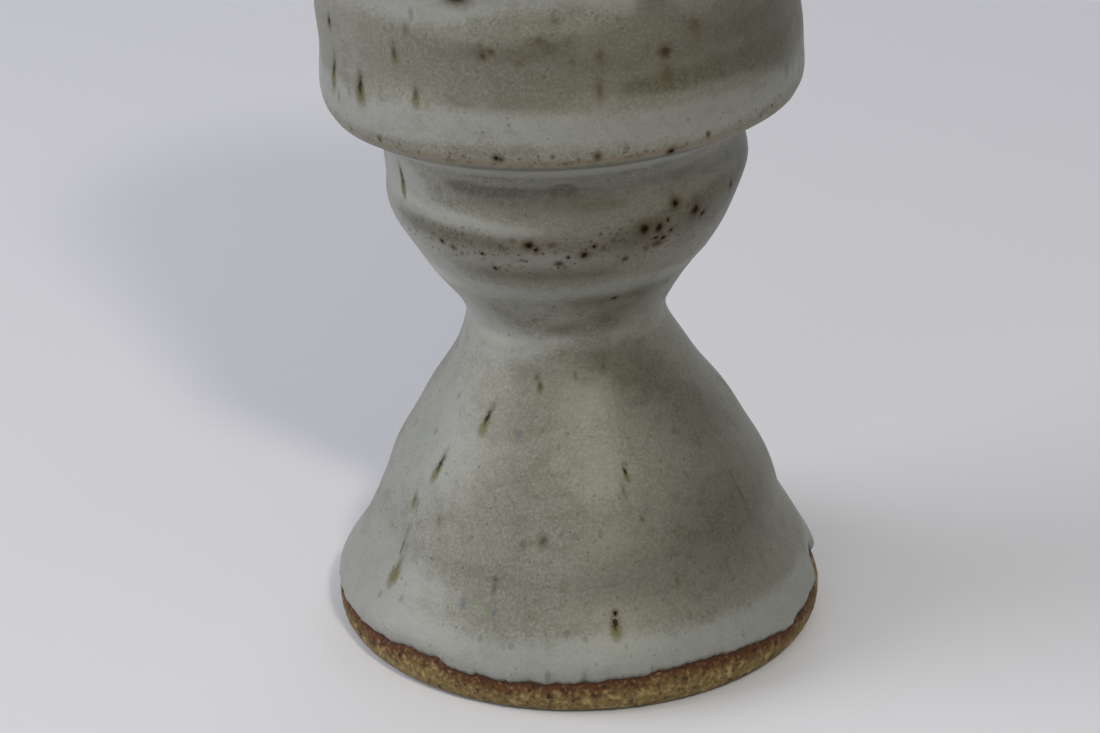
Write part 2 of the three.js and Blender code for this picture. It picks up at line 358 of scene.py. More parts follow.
@dataclass(frozen=True)
class Ripple:
    """A smooth uneven wave over the pot, which comes out the same each time for the same seed."""

    seed: int
    least_waves: int
    most_waves: int
    climb: float = 0.0
    count: int = 16

    def at(self, angle: Array, height: Number = 0.0) -> Array:
        """Add up sines, sin(n a + c z + p), with seeded n, c and p, and scale the sum to about 1.

        Args:
            angle: Places round the pot in degrees.
            height: Heights in millimetres.

        Returns:
            The wave, mostly between -1 and 1.
        """
        draw = np.random.default_rng(self.seed)
        waves = draw.integers(self.least_waves, self.most_waves + 1, self.count)
        climbs = draw.uniform(-self.climb, self.climb, self.count)
        phases = draw.uniform(0.0, 2 * math.pi, self.count)
        around = np.radians(angle)
        total = sum(np.sin(n * around + c * height + p) for n, c, p in zip(waves, climbs, phases))
        return total / math.sqrt(self.count)


@dataclass(frozen=True)
class Sweep:
    """A soft line round part of the pot: a ridge, a groove where it is negative, or a streak."""

    start_angle: float
    end_angle: float
    start_height: float
    end_height: float
    half_height: float
    strength: float
    fade: float = 16.0

    def at(self, angle: Array, height: Array) -> Array:
        """Read the line: a bell in height about a slope, faded in and out round the pot.

        Args:
            angle: Places round the pot in degrees.
            height: Heights in millimetres.

        Returns:
            The line's strength: how far it stands out in millimetres, or its share of a colour.
        """
        length = self.end_angle - self.start_angle
        way = (angle - self.start_angle) % FULL_TURN
        line = self.start_height + (self.end_height - self.start_height) * way / length
        faded = hill(way, 0.0, self.fade, length - self.fade, length)
        return self.strength * bell(height, line, self.half_height) * faded


@dataclass(frozen=True)
class Patch:
    """A soft spot of a zone: a bell round the pot times a bell in height."""

    angle: float
    height: float
    half_angle: float
    half_height: float
    share: float

    def at(self, angle: Array, height: Array) -> Array:
        """Read the patch at places round the pot and heights."""
        across = bell(from_angle(angle, self.angle), 0.0, self.half_angle)
        return self.share * across * bell(height, self.height, self.half_height)


@dataclass(frozen=True)
class Band:
    """A zone all round the pot between two heights, with soft and wavy borders."""

    low: float
    high: float
    soft: float
    share: float
    wave: float
    seed: int

    def at(self, angle: Array, height: Array) -> Array:
        """Read the band: a rise at its low border times a fall at its high one.

        Args:
            angle: Places round the pot in degrees.
            height: Heights in millimetres.

        Returns:
            The band's share.
        """
        low, high, soft = self.low, self.high, self.soft
        waves = Ripple(self.seed, least_waves=1, most_waves=6, climb=0.05)
        moved = height + self.wave * waves.at(angle, height)
        return self.share * hill(moved, low - soft, low + soft, high - soft, high + soft)


Zone = Sweep | Patch | Band


def added(zones: tuple[Zone, ...], angle: Array, height: Array) -> Array:
    """Add up lines, patches and bands at places round the pot and heights."""
    return sum(zone.at(angle, height) for zone in zones)


@dataclass(frozen=True)
class HandMarks:
    """What the potter's hand left on the pot: rings, ridges, a lean, a tilt and a slow wobble."""

    outline: Outline
    ring_depth: float = 0.1
    ring_pitch: float = 7.6
    waist_lean: float = -1.0
    bowl_lean: float = -1.5
    bowl_lean_rise: float = 8.0
    tilt_share: float = 0.04
    oval_share: float = 0.004
    wobble_depth: float = 0.035
    wobble: Ripple = Ripple(seed=11, least_waves=1, most_waves=3, climb=0.1)
    dents_depth: float = 0.012
    dents: Ripple = Ripple(seed=12, least_waves=2, most_waves=9, climb=1.3, count=24)
    ridges: tuple[Sweep, ...] = (
        Sweep(-172, -86, 55.6, 53.5, 0.95, 0.24, 26), Sweep(-70, 20, 53, 55.2, 1.1, 0.14),
        Sweep(-45, 60, 55.2, 54.4, 2.2, 0.3, 30), Sweep(-45, 60, 59, 59, 1.4, -0.22, 30),
        Sweep(60, 170, 54.6, 53.4, 1, 0.2), Sweep(-150, -20, 57.4, 57, 0.6, -0.16),
        Sweep(-110, -30, 43, 43.6, 0.8, -0.1), Sweep(-120, -78, 38.8, 39.9, 0.9, -0.05, 14),
        Sweep(-140, -40, 47.8, 47.8, 0.8, -0.08), Sweep(-100, 60, 46.4, 45, 0.5, 0.08),
        Sweep(-180, 179, 38, 38, 1.9, 0.14, 1), Sweep(-84, -22, 70.6, 70.9, 0.8, -0.12),
        Sweep(-170, -70, 69.2, 69.6, 1, 0.08),
    )

    def relief(self, angle: Array, height: Array) -> Array:
        """Add the rings, which climb one pitch a turn, to the ridges, the wobble and the dents.

        Args:
            angle: Places round the pot in degrees.
            height: Heights in millimetres.

        Returns:
            How far the surface stands out, in millimetres. It fades out on the bead and the lip.
        """
        line = self.outline
        high_start = line.rim_height - self.ring_pitch
        faded = hill(height, line.bead_rise, line.flare_height, high_start, line.lip_height)
        turns = (height - line.waist_height) / self.ring_pitch
        spiral = np.cos(2 * math.pi * turns - np.radians(angle + FULL_TURN / 4))
        uneven = self.wobble_depth * self.wobble.at(angle, height)
        uneven = uneven + self.dents_depth * self.dents.at(angle, height)
        return faded * (self.ring_depth * spiral + added(self.ridges, angle, height) + uneven)

    def settle(self, angle: Array, radius: Array, height: Array) -> Array:
        """Turn a profile round the axis, then lean and tilt what stands above the level sole.

        The lean moves x by two smooth steps in height, the oval widens x and narrows y, and the
        tilt raises z by a share of x and y.

        Args:
            angle: Places round the pot in degrees.
            radius: Distances from the axis.
            height: Heights before the tilt.

        Returns:
            Points in millimetres, with x, y and z along the last axis.
        """
        line = self.outline
        around = np.radians(angle)
        x, y = radius * np.cos(around), radius * np.sin(around)
        raised = smooth_step(height, 0.0, line.waist_height)
        oval = self.oval_share * smooth_step(height, line.waist_height, line.edge_height)
        lean = self.waist_lean * smooth_step(height, line.flare_height, line.waist_height)
        lean_top = line.wall_height + self.bowl_lean_rise
        lean = lean + self.bowl_lean * smooth_step(height, line.edge_height, lean_top)
        tilted = height + raised * self.tilt_share * (x + y)
        return np.stack([x * (1 + oval) + lean, y * (1 - oval), tilted], axis=-1)


class Ends(Enum):
    """How the profile of a skin closes."""

    LOOP = "the last row joins the first"
    POLES = "the first and last rows are closed by a point on the axis each"


@dataclass
class Skin:
    """The closed surface of a piece, on a grid of rows along a profile and columns round the pot.

    Faces run (i, j), (i, j+1), (i+1, j+1), (i+1, j), so a profile that goes up the outside and down
    the inside has its faces outwards.
    """

    angle: Array
    radius: Array
    height: Array
    ends: Ends = Ends.LOOP

    @staticmethod
    def turned(profile: Array, columns: int, ends: Ends = Ends.LOOP) -> "Skin":
        """Carry rows of radius and height round the axis in a number of columns."""
        radius, height = (np.repeat(values[:, None], columns, axis=1) for values in profile.T)
        return Skin(np.repeat(columns_round(columns), len(profile), axis=0), radius, height, ends)

    def corners(self) -> Array:
        """Number the faces' corners, in rows i and i+1 and columns j and j+1.

        Returns:
            Four vertex numbers a face.
        """
        numbers = np.arange(self.radius.size).reshape(self.radius.shape)
        if self.ends is Ends.LOOP:
            numbers = np.vstack([numbers, numbers[:1]])
        after = np.roll(numbers, -1, axis=1)
        quads = np.stack([numbers[:-1], after[:-1], after[1:], numbers[1:]], axis=-1)
        return quads.reshape(-1, 4)

    def fans(self) -> Array:
        """Number the corners of the faces between each end row and its pole.

        Returns:
            Three vertex numbers a face.
        """
        count, columns = self.radius.size, self.radius.shape[1]
        first_pole, last_pole = np.full(columns, count), np.full(columns, count + 1)
        row = np.arange(columns)
        after = np.roll(row, -1)
        last_row = count - columns
        low = np.column_stack([after, row, first_pole])
        high = np.column_stack([last_row + row, last_row + after, last_pole])
        return np.vstack([low, high])

    def build(self, name: str, hand: HandMarks) -> bpy.types.Object:
        """Settle the grid and write its vertices and faces, with a pole in the middle of an end row.

        Args:
            name: The piece's name.
            hand: What leans and tilts the pot.

        Returns:
            The piece, in the scene.
        """
        grid = hand.settle(self.angle, self.radius, self.height)
        points, faces = grid.reshape(-1, 3), self.corners().tolist()
        if self.ends is Ends.POLES:
            points = np.vstack([points, grid[0].mean(axis=0), grid[-1].mean(axis=0)])
            faces += self.fans().tolist()
        mesh = bpy.data.meshes.new(name)
        mesh.from_pydata(points * MILLIMETRE, [], faces)
        mesh.shade_smooth()
        mesh.update()
        piece = bpy.data.objects.new(name, mesh)
        bpy.context.scene.collection.objects.link(piece)
        return piece


def store(piece: bpy.types.Object, name: str, values: Array, domain: str = "POINT") -> None:
    """Store three numbers for each vertex or corner of a mesh.

    Args:
        piece: The piece whose mesh gets the numbers.
        name: The name that its material reads them by.
        values: Three numbers for each place, or three for them all. Poles past the last get zeros.
        domain: POINT for the vertices, CORNER for the corners of the faces.
    """
    layer = piece.data.attributes.new(name, "FLOAT_VECTOR", domain)
    given = values.reshape(-1, 3)
    rows = np.zeros((len(layer.data), 3), np.float32)
    rows[: len(given) if len(given) > 1 else None] = given
    layer.data.foreach_set("vector", rows.ravel())


def linear(colour: Colour) -> tuple[float, float, float, float]:
    """Turn a screen's colour, c of 255, into a shader's light, ((c / 255 + 0.055) / 1.055)^2.4."""
    light = ((np.array(colour) / 255.0 + 0.055) / 1.055) ** 2.4
    return (*light.tolist(), 1.0)


class Recipe:
    """A tree of shader nodes, with one short method for each kind of node that the finishes use.

    SPECK_LEAST is the smallest speck's share of the largest one's radius, and SPECK_CORE is the
    share of a speck's radius that is full.
    """

    SPECK_LEAST = 0.45
    SPECK_CORE = 0.45

    def __init__(self, owner: bpy.types.ID, end: str = "Principled BSDF") -> None:
        """Start the tree of a material or world at the shader that ends it.

        Args:
            owner: The material or world.
            end: The shader that ends its tree.
        """
        owner.use_nodes = True
        self.owner = owner
        self.tree = owner.node_tree
        self.end = self.tree.nodes[end]

    def feed(self, node: bpy.types.Node, inputs: dict[str | int, object]) -> None:
        """Link a socket to each named input of a node, or set the input's own value.

        Args:
            node: The node.
            inputs: A socket or a plain value for each input, by name or number.
        """
        for key, value in inputs.items():
            if isinstance(value, bpy.types.NodeSocket):
                self.tree.links.new(value, node.inputs[key])
            else:
                node.inputs[key].default_value = value

    def finished(self, inputs: dict[str | int, object]) -> bpy.types.ID:
        """Feed the shader, and give the material or world."""
        self.feed(self.end, inputs)
        return self.owner

    def node(self, kind: str, inputs: dict | None = None, **settings: object) -> bpy.types.Node:
        """Add a node of a kind, set its properties and feed its inputs.

        Args:
            kind: The node's type, without ShaderNode.
            inputs: What goes into its inputs.
            settings: Its properties.

        Returns:
            The node.
        """
        made = self.tree.nodes.new("ShaderNode" + kind)
        for name, value in settings.items():
            setattr(made, name, value)
        self.feed(made, inputs or {})
        return made

    @cached_property
    def place(self) -> Socket:
        """Give the object coordinates, in metres."""
        return self.node("TexCoord").outputs["Object"]

    def split(self, vector: Socket) -> tuple[Socket, Socket, Socket]:
        """Split a vector into its three numbers."""
        return tuple(self.node("SeparateXYZ", {0: vector}).outputs)

    def stored(self, name: str) -> tuple[Socket, Socket, Socket]:
        """Read three numbers that are stored on the mesh under a name."""
        return self.split(self.node("Attribute", attribute_name=name).outputs["Vector"])

    def math(self, operation: str, *values: object) -> Socket:
        """Work out a sum, product or other operation of numbers."""
        return self.node("Math", dict(enumerate(values)), operation=operation).outputs[0]

    def times(self, value: object, factor: object) -> Socket:
        """Multiply a number."""
        return self.math("MULTIPLY", value, factor)

    def plus(self, value: object, factor: object, more: object) -> Socket:
        """Multiply a number and add more to it."""
        return self.math("MULTIPLY_ADD", value, factor, more)

    def less(self, value: object, amount: object) -> Socket:
        """Take an amount from a number."""
        return self.math("SUBTRACT", value, amount)

    def stretched(self, vector: Socket, *factors: float) -> Socket:
        """Multiply each part of a vector by its own factor."""
        return self.node("VectorMath", {0: vector, 1: factors}, operation="MULTIPLY").outputs[0]

    def shifted(self, vector: Socket, *metres: float) -> Socket:
        """Move a vector."""
        return self.node("VectorMath", {0: vector, 1: metres}, operation="ADD").outputs[0]

    def noise(self, place: Socket, size: float, detail: float = 3.0, rough: float = 0.55) -> Socket:
        """Make cloudy noise.

        Args:
            place: Where the pattern is read.
            size: Size of its features in millimetres.
            detail: How many finer noises are added.
            rough: How strong they are.

        Returns:
            The noise, about 0.5 on average.
        """
        scale = 1.0 / (size * MILLIMETRE)
        inputs = {"Vector": place, "Scale": scale, "Detail": detail, "Roughness": rough}
        return self.node("TexNoise", inputs).outputs[0]

    def step(self, value: object, low: object, high: object) -> Socket:
        """Rise smoothly from 0 at low to 1 at high. It falls where low is above high."""
        inputs = dict(enumerate((value, low, high)))
        return self.node("MapRange", inputs, interpolation_type="SMOOTHSTEP").outputs[0]

    def between(self, value: object, low: float, high: float) -> Socket:
        """Spread a number from 0 and 1 to a low and a high."""
        inputs = {"Value": value, "To Min": low, "To Max": high}
        return self.node("MapRange", inputs).outputs[0]

    def blend(self, share: object, under: object, over: object) -> Socket:
        """Lay one colour over another by a share."""
        under, over = (linear(value) if isinstance(value, tuple) else value for value in (under, over))
        return self.node("Mix", {0: share, 6: under, 7: over}, data_type="RGBA").outputs[2]

    def layers(self, colour: object, *coats: tuple[object, object, Colour]) -> Socket:
        """Lay tints over a colour in turn, each by a share of the most that it covers.

        Args:
            colour: The colour beneath.
            coats: The share, the most and the tint of each.

        Returns:
            The colour with all of them.
        """
        for share, most, tint in coats:
            colour = self.blend(self.times(share, most), colour, tint)
        return colour

    def reach(self, x: Socket, y: Socket) -> Socket:
        """Give the distance from the origin, the root of x^2 + y^2."""
        return self.math("SQRT", self.plus(x, x, self.times(y, y)))

    def relief(self, *heights: tuple[Socket, float]) -> Socket:
        """Stack bumps, whose heights are multiplied by their depths.

        Args:
            heights: A height from 0 to 1 and a depth in millimetres for each bump.

        Returns:
            The shader's normal.
        """
        inputs = {"Strength": 1.0}
        for height, depth in heights:
            inputs |= {"Height": height, "Distance": depth * MILLIMETRE}
            inputs["Normal"] = self.node("Bump", inputs).outputs[0]
        return inputs["Normal"]

    def specks(self, place: Socket, size: float, radius: float, share: object) -> Socket:
        """Scatter round specks: one in each cell of a size whose own chance is under a share.

        Args:
            place: Where the pattern is read.
            size: Size of a cell in millimetres.
            radius: Radius of the largest speck in millimetres.
            share: Share of the cells that hold a speck.

        Returns:
            1 in the middle of a speck, 0 outside all of them.
        """
        cell = self.node("TexVoronoi", {"Vector": place, "Scale": 1.0 / (size * MILLIMETRE)})
        first, second, _ = self.split(cell.outputs["Color"])
        reach = self.between(second, self.SPECK_LEAST * radius / size, radius / size)
        spot = self.step(cell.outputs["Distance"], reach, self.times(reach, self.SPECK_CORE))
        return self.times(self.math("LESS_THAN", first, share), spot)


@dataclass(frozen=True)
class BareClayFinish:
    """Iron-bearing stoneware where no glaze covers it: red-brown beside the glaze, ochre below."""

    red: Colour = (78, 43, 19)
    ochre: Colour = (114, 96, 58)
    pale: Colour = (164, 144, 96)
    dark: Colour = (36, 24, 15)
    inner: Colour = (122, 90, 60)
    blush_depth: float = 2.3
    wide_size: float = 5.0
    coarse_size: float = 1.9
    blotch_size: float = 1.0
    fine_size: float = 0.5
    pit_cell: float = 1.2
    pit_radius: float = 0.3
    pit_share: float = 0.5
    roughness: tuple[float, float] = (0.66, 0.92)
    sheen: float = 0.3
    fine_depth: float = 0.09
    coarse_depth: float = 0.14
    pit_depth: float = 0.16

    def material(self) -> bpy.types.Material:
        """Make the clay: toasted colour by the distance under the glaze, grit, pits and toolmarks, with
        painted shade just under the glaze and by the sole.

        Returns:
            The material.
        """
        mix = Recipe(bpy.data.materials.new("bare_clay"))
        below, inside, low = mix.stored("clay")
        wide = mix.noise(mix.place, self.wide_size)
        blotch = mix.noise(mix.place, self.blotch_size)
        fine = mix.noise(mix.place, self.fine_size, detail=4.0, rough=0.65)
        depth = mix.plus(wide, 1.6, mix.less(below, 0.8))
        depth = mix.plus(blotch, 1.8, mix.less(depth, 0.9))
        flecks = mix.times(mix.step(blotch, 0.5, 0.72), 0.75)
        colour = mix.layers(
            mix.blend(mix.step(depth, 0.4, self.blush_depth), self.red, self.ochre),
            (flecks, mix.step(depth, 0.6, 2.4), self.pale),
            (mix.step(blotch, 0.46, 0.3), 0.7, self.dark),
            (mix.step(fine, 0.52, 0.74), 0.5, self.pale),
            (mix.step(fine, 0.46, 0.28), 0.7, self.dark),
        )
        inner = mix.blend(mix.step(wide, 0.3, 0.7), self.inner, self.ochre)
        pits = mix.specks(mix.place, self.pit_cell, self.pit_radius, self.pit_share)
        colour = mix.layers(
            mix.blend(inside, colour, inner),
            # Darkest just under the glaze's edge: painted shade under the glaze's roll, partly iron.
            (mix.step(below, 0.5, 0.05), 0.55, self.dark),
            # Dark near the sole: painted contact shadow, partly wear.
            (low, 0.85, self.dark),
            (pits, 0.85, self.dark),
        )
        grit = (fine, self.fine_depth), (mix.noise(mix.place, self.coarse_size), self.coarse_depth)
        surface = {"Base Color": colour, "Roughness": mix.between(fine, *self.roughness)}
        surface["Specular IOR Level"] = self.sheen
        surface["Normal"] = mix.relief(*grit, (mix.less(1.0, pits), self.pit_depth))
        return mix.finished(surface)


@dataclass(frozen=True)
class SlipFinish:
    """Fired slip in the joints: matt, darker than the clay, with brush and finger marks."""

    base: Colour = (118, 84, 58)
    light: Colour = (146, 110, 76)
    cloud_size: float = 1.6
    cloud_squeeze: float = 4.0
    roughness: tuple[float, float] = (0.7, 0.9)
    smear_depth: float = 0.08

    def material(self) -> bpy.types.Material:
        """Make the slip: two browns in soft clouds and a smeared, matt surface.

        Returns:
            The material.
        """
        mix = Recipe(bpy.data.materials.new("fired_slip"))
        smear = mix.stretched(mix.place, 1.0, 1.0, self.cloud_squeeze)
        cloud = mix.noise(smear, self.cloud_size, detail=4.0)
        surface = {"Base Color": mix.blend(cloud, self.base, self.light)}
        surface["Roughness"] = mix.between(cloud, *self.roughness)
        surface["Normal"] = mix.relief((cloud, self.smear_depth))
        return mix.finished(surface)


class GlazeRecipe(Recipe):
    """The glaze's tree, with the noises that break it up, from fine to wide."""

    FINE_SIZE = 0.36
    BLOTCH_SIZE = 2.0
    BLOTCH_SQUEEZE = 1.35
    SOFT_SIZE = 7.0

    def __init__(self, name: str) -> None:
        """Start the tree and its noises, the middle one drawn out round the pot as it was thrown.

        Args:
            name: The material's name.
        """
        super().__init__(bpy.data.materials.new(name))
        thrown = self.stretched(self.place, 1.0, 1.0, self.BLOTCH_SQUEEZE)
        self.fine = self.noise(self.place, self.FINE_SIZE, rough=0.65)
        self.blotch = self.noise(thrown, self.BLOTCH_SIZE, detail=4.0)
        self.soft = self.noise(self.place, self.SOFT_SIZE)

    def shaken(self, value: object, fine: float, blotch: float, soft: float = 0.0) -> Socket:
        """Add each noise, less its mean of a half, to a value by its own weight.

        Args:
            value: What is shaken.
            fine: The fine noise's weight.
            blotch: The middle one's.
            soft: The wide one's.

        Returns:
            The uneven value.
        """
        for noise, weight in ((self.fine, fine), (self.blotch, blotch), (self.soft, soft)):
            value = self.plus(noise, weight, self.less(value, weight / 2))
        return value


@dataclass(frozen=True)
class GlazeFinish:
    """The satin grey glaze, with what the fire did to it in each zone of the pot, and painted light and
    shade in some zones.
    """

    pale: Colour = (136, 137, 131)
    middle: Colour = (118, 116, 104)
    grain: Colour = (80, 79, 60)
    milk_and_highlight: Colour = (158, 157, 146)
    warm: Colour = (82, 76, 62)
    olive: Colour = (64, 60, 40)
    ochre: Colour = (114, 104, 86)
    rust: Colour = (66, 42, 18)
    iron: Colour = (24, 15, 3)
    brown: Colour = (62, 46, 20)
    drip: Colour = (80, 75, 2)
    smoke: Colour = (76, 79, 90)
    warm_most: float = 0.62
    olive_most: float = 0.85
    roughness: float = 0.45
    sheen: float = 0.5
    refraction: float = 1.5
    line_size: float = 0.5
    line_depth: float = 0.02
    peel_size: float = 1.2
    peel_depth: float = 0.035
    grain_depth: float = 0.02
    pit_depth: float = 0.03
    edge_height: float = 63.85
    edge_half: float = 0.3
    lip_height: float = 105.6
    lip_soft: float = 1.4

    def material(self) -> bpy.types.Material:
        """Make the glaze from its layers, from the ground colour up to the iron marks.

        Returns:
            The material.
        """
        mix = GlazeRecipe("grey_glaze")
        warm, olive, pale = mix.stored("zones")
        above, height, specked = mix.stored("coat")
        colour = self.ground(mix, pale)
        colour = self.tinted(mix, colour, warm, self.warm, self.warm_most)
        colour = self.tinted(mix, colour, olive, self.olive, self.olive_most)
        colour = self.smudged(mix, colour)
        colour = self.thinned(mix, colour, height, above)
        colour = self.specked(mix, colour, specked)
        colour, sheen, pits = self.marked(mix, colour)
        lines = mix.noise(mix.stretched(mix.place, 0.1, 0.1, 1.0), self.line_size)
        peel = mix.noise(mix.place, self.peel_size, detail=2.0)
        surface = {"Base Color": colour, "Roughness": mix.shaken(self.roughness, 0.12, 0.08, 0.1)}
        surface |= {"IOR": self.refraction, "Specular IOR Level": sheen}
        surface["Normal"] = mix.relief(
            (lines, self.line_depth),
            (peel, self.peel_depth),
            (mix.fine, self.grain_depth),
            (mix.less(1.0, pits), self.pit_depth),
        )
        return mix.finished(surface)

    def ground(self, mix: GlazeRecipe, pale: Socket) -> Socket:
        """Mottle the ground: dark grains and milky flecks, calmer where the glaze lies thick.

        Args:
            mix: The glaze's tree.
            pale: Share of thick pale glaze, partly painted light on the lit left side. From 1 to 2 it
                turns milky: a painted highlight in the fillet under the bowl's edge, partly glaze
                pooled there.

        Returns:
            The ground colour.
        """
        dark = mix.step(mix.fine, 0.58, 0.36)
        light = mix.step(mix.fine, 0.5, 0.74)
        blots = mix.step(mix.blotch, 0.56, 0.34)
        cloud = mix.step(mix.soft, 0.5, 0.7)
        base = ((dark, 0.42, self.grain), (light, 0.25, self.milk_and_highlight), (blots, 0.3, self.grain))
        calm = ((dark, 0.12, self.grain), (light, 0.1, self.milk_and_highlight), (blots, 0.12, self.grain))
        share = mix.step(mix.shaken(pale, 0.3, 0.4, 0.6), 0.15, 0.9)
        lively = mix.layers(self.middle, *base, (cloud, 0.2, self.milk_and_highlight))
        colour = mix.blend(share, lively, mix.layers(self.pale, *calm))
        # Pale shares over 1 turn milky: a painted highlight in the fillet under the bowl's edge, partly
        # glaze pooled there.
        return mix.layers(colour, (mix.step(pale, 1.0, 2.0), 0.9, self.milk_and_highlight))

    def tinted(
        self, mix: GlazeRecipe, colour: Socket, zone: Socket, tint: Colour, most: float
    ) -> Socket:
        """Lay a tint over a zone, with a border and a body that the noises break up.

        Args:
            mix: The glaze's tree.
            colour: The colour beneath.
            zone: The zone's share, from 0 to 1.
            tint: The zone's colour.
            most: The most that the tint covers.

        Returns:
            The tinted colour.
        """
        ragged = mix.shaken(zone, 0.6, 1.1, 0.6)
        share = mix.times(mix.step(ragged, 0.05, 1.05), mix.step(zone, 0.0, 0.2))
        body = mix.between(mix.step(mix.fine, 0.62, 0.42), 0.72, 1.0)
        return mix.layers(colour, (mix.times(share, body), most, tint))

    def smudged(self, mix: GlazeRecipe, colour: Socket) -> Socket:
        """Scatter faint smudges of olive that run down a little.

        Args:
            mix: The glaze's tree.
            colour: The colour beneath.

        Returns:
            The smudged colour.
        """
        run = mix.stretched(mix.place, 1.0, 1.0, 0.45)
        near = mix.specks(run, 2.3, 0.5, 0.5)
        far = mix.specks(mix.shifted(run, 0.03, 0.01, 0.02), 5.2, 0.8, 0.5)
        return mix.layers(colour, (near, 0.4, self.olive), (far, 0.3, self.olive))

    def specked(self, mix: GlazeRecipe, colour: Socket, share: Socket) -> Socket:
        """Scatter iron specks of three sizes, many where the share is high.

        Args:
            mix: The glaze's tree.
            colour: The colour beneath.
            share: How many there are, from 0 to 1.

        Returns:
            The specked colour.
        """
        aside = mix.shifted(mix.place, 0.01, 0.02, 0.03)
        apart = mix.shifted(mix.place, 0.03, 0.01, 0.02)
        large = mix.specks(mix.place, 1.5, 0.5, mix.between(share, 0.02, 0.6))
        small = mix.specks(aside, 0.9, 0.34, mix.between(share, 0.04, 0.55))
        tiny = mix.specks(apart, 0.5, 0.2, mix.between(share, 0.06, 0.6))
        return mix.layers(
            colour,
            (large, mix.between(share, 0.3, 0.75), self.olive),
            (small, mix.between(share, 0.35, 0.9), self.brown),
            (tiny, mix.between(share, 0.35, 0.8), self.iron),
        )

    def thinned(self, mix: GlazeRecipe, colour: Socket, height: Socket, above: Socket) -> Socket:
        """Let the clay's brown through where the glaze is thin, and burn the line where it stops.

        Args:
            mix: The glaze's tree.
            colour: The colour beneath.
            height: Height up the pot in millimetres. The glaze is thin on the sharp edge and the lip.
            above: Distance above the glaze's lower edge in millimetres.

        Returns:
            The colour with its thin places.
        """
        ragged = mix.shaken(height, 0.5, 0.5)
        away = mix.math("ABSOLUTE", mix.less(ragged, self.edge_height))
        edge = mix.step(away, 2.0 * self.edge_half, 0.4 * self.edge_half)
        lip = mix.step(ragged, self.lip_height, self.lip_height + self.lip_soft)
        thin = mix.math("MAXIMUM", edge, lip)
        bare = mix.times(mix.step(mix.shaken(thin, 1.4, 2.2, 0.6), 0.9, 1.6), thin)
        line = mix.step(mix.shaken(above, 0.3, 0.1), 0.26, 0.04)
        return mix.layers(
            colour, (thin, 0.75, self.ochre), (bare, 0.75, self.brown), (line, 0.75, self.rust)
        )

    def marked(self, mix: GlazeRecipe, colour: Socket) -> tuple[Socket, Socket, Socket]:
        """Draw the iron marks in their own coordinates: a drop that narrows upwards, and its drip.

        A mark's coordinates run from -1 to 1 across, x, and from -1 to 1 up, y. The core is where
        (n x)^2 + (m (y - 0.4 d))^2 is under 1, with n = 1 + 1.4 d and m = 1 + 0.4 d, so the more it
        drips, d, the thinner and higher it is. The drip is a wider spot under it, and a brown halo
        lies about both.

        Args:
            mix: The glaze's tree.
            colour: The colour beneath.

        Returns:
            The colour with the marks, the specular level, and how deep the marks are pitted.
        """
        across, up, dark = mix.stored("mark_place")
        drip, rust, smoke = mix.stored("mark_kind")
        shake = mix.less(mix.noise(mix.place, 0.3), 0.5)
        waver = mix.less(mix.noise(mix.place, 0.8, 2.0), 0.5)
        x, y = mix.plus(shake, 1.3, across), mix.plus(waver, 1.1, up)
        narrow = mix.times(x, mix.plus(drip, 1.4, 1.0))
        raised = mix.times(mix.plus(drip, -0.4, y), mix.plus(drip, 0.4, 1.0))
        core = mix.reach(narrow, raised)
        spot = mix.reach(mix.times(x, 0.8), mix.math("ADD", y, 0.65))
        halo = mix.step(core, 3.2, 0.4)
        pit = mix.times(mix.step(core, 1.5, 0.25), dark)
        dull = mix.plus(halo, mix.times(dark, -0.2), self.sheen)
        colour = mix.layers(
            colour,
            (mix.times(halo, dark), 0.75, self.brown),
            (mix.times(halo, rust), 0.85, self.rust),
            (mix.times(mix.step(core, 1.6, 0.2), smoke), 0.7, self.smoke),
            (mix.times(mix.step(spot, 1.4, 0.35), drip), 0.95, self.drip),
            (pit, 1.0, self.iron),
        )
        return colour, mix.plus(pit, -0.28, dull), pit


class MarkKind(Enum):
    """What an iron mark looks like: darkness of its core, then its drip, rust and smoke."""

    SPECK = (1.0, 0.0, 0.1, 0.0)
    FAINT = (0.28, 0.25, 0.0, 0.0)
    BROWN = (0.4, 0.2, 0.2, 0.0)
    DASH = (0.9, 0.85, 0.0, 0.0)
    DRIP = (0.3, 1.0, 0.0, 0.0)
    TRACE = (0.5, 0.6, 0.0, 0.0)
    RUST = (0.55, 0.0, 0.85, 0.0)
    SMOKE = (0.0, 0.0, 0.0, 1.0)


@dataclass(frozen=True)
class Mark:
    """One iron mark: where it is, in degrees and millimetres, and its half width and half length."""

    kind: MarkKind
    angle: float
    height: float
    half_width: float
    half_length: float
    lean: float = 0.0


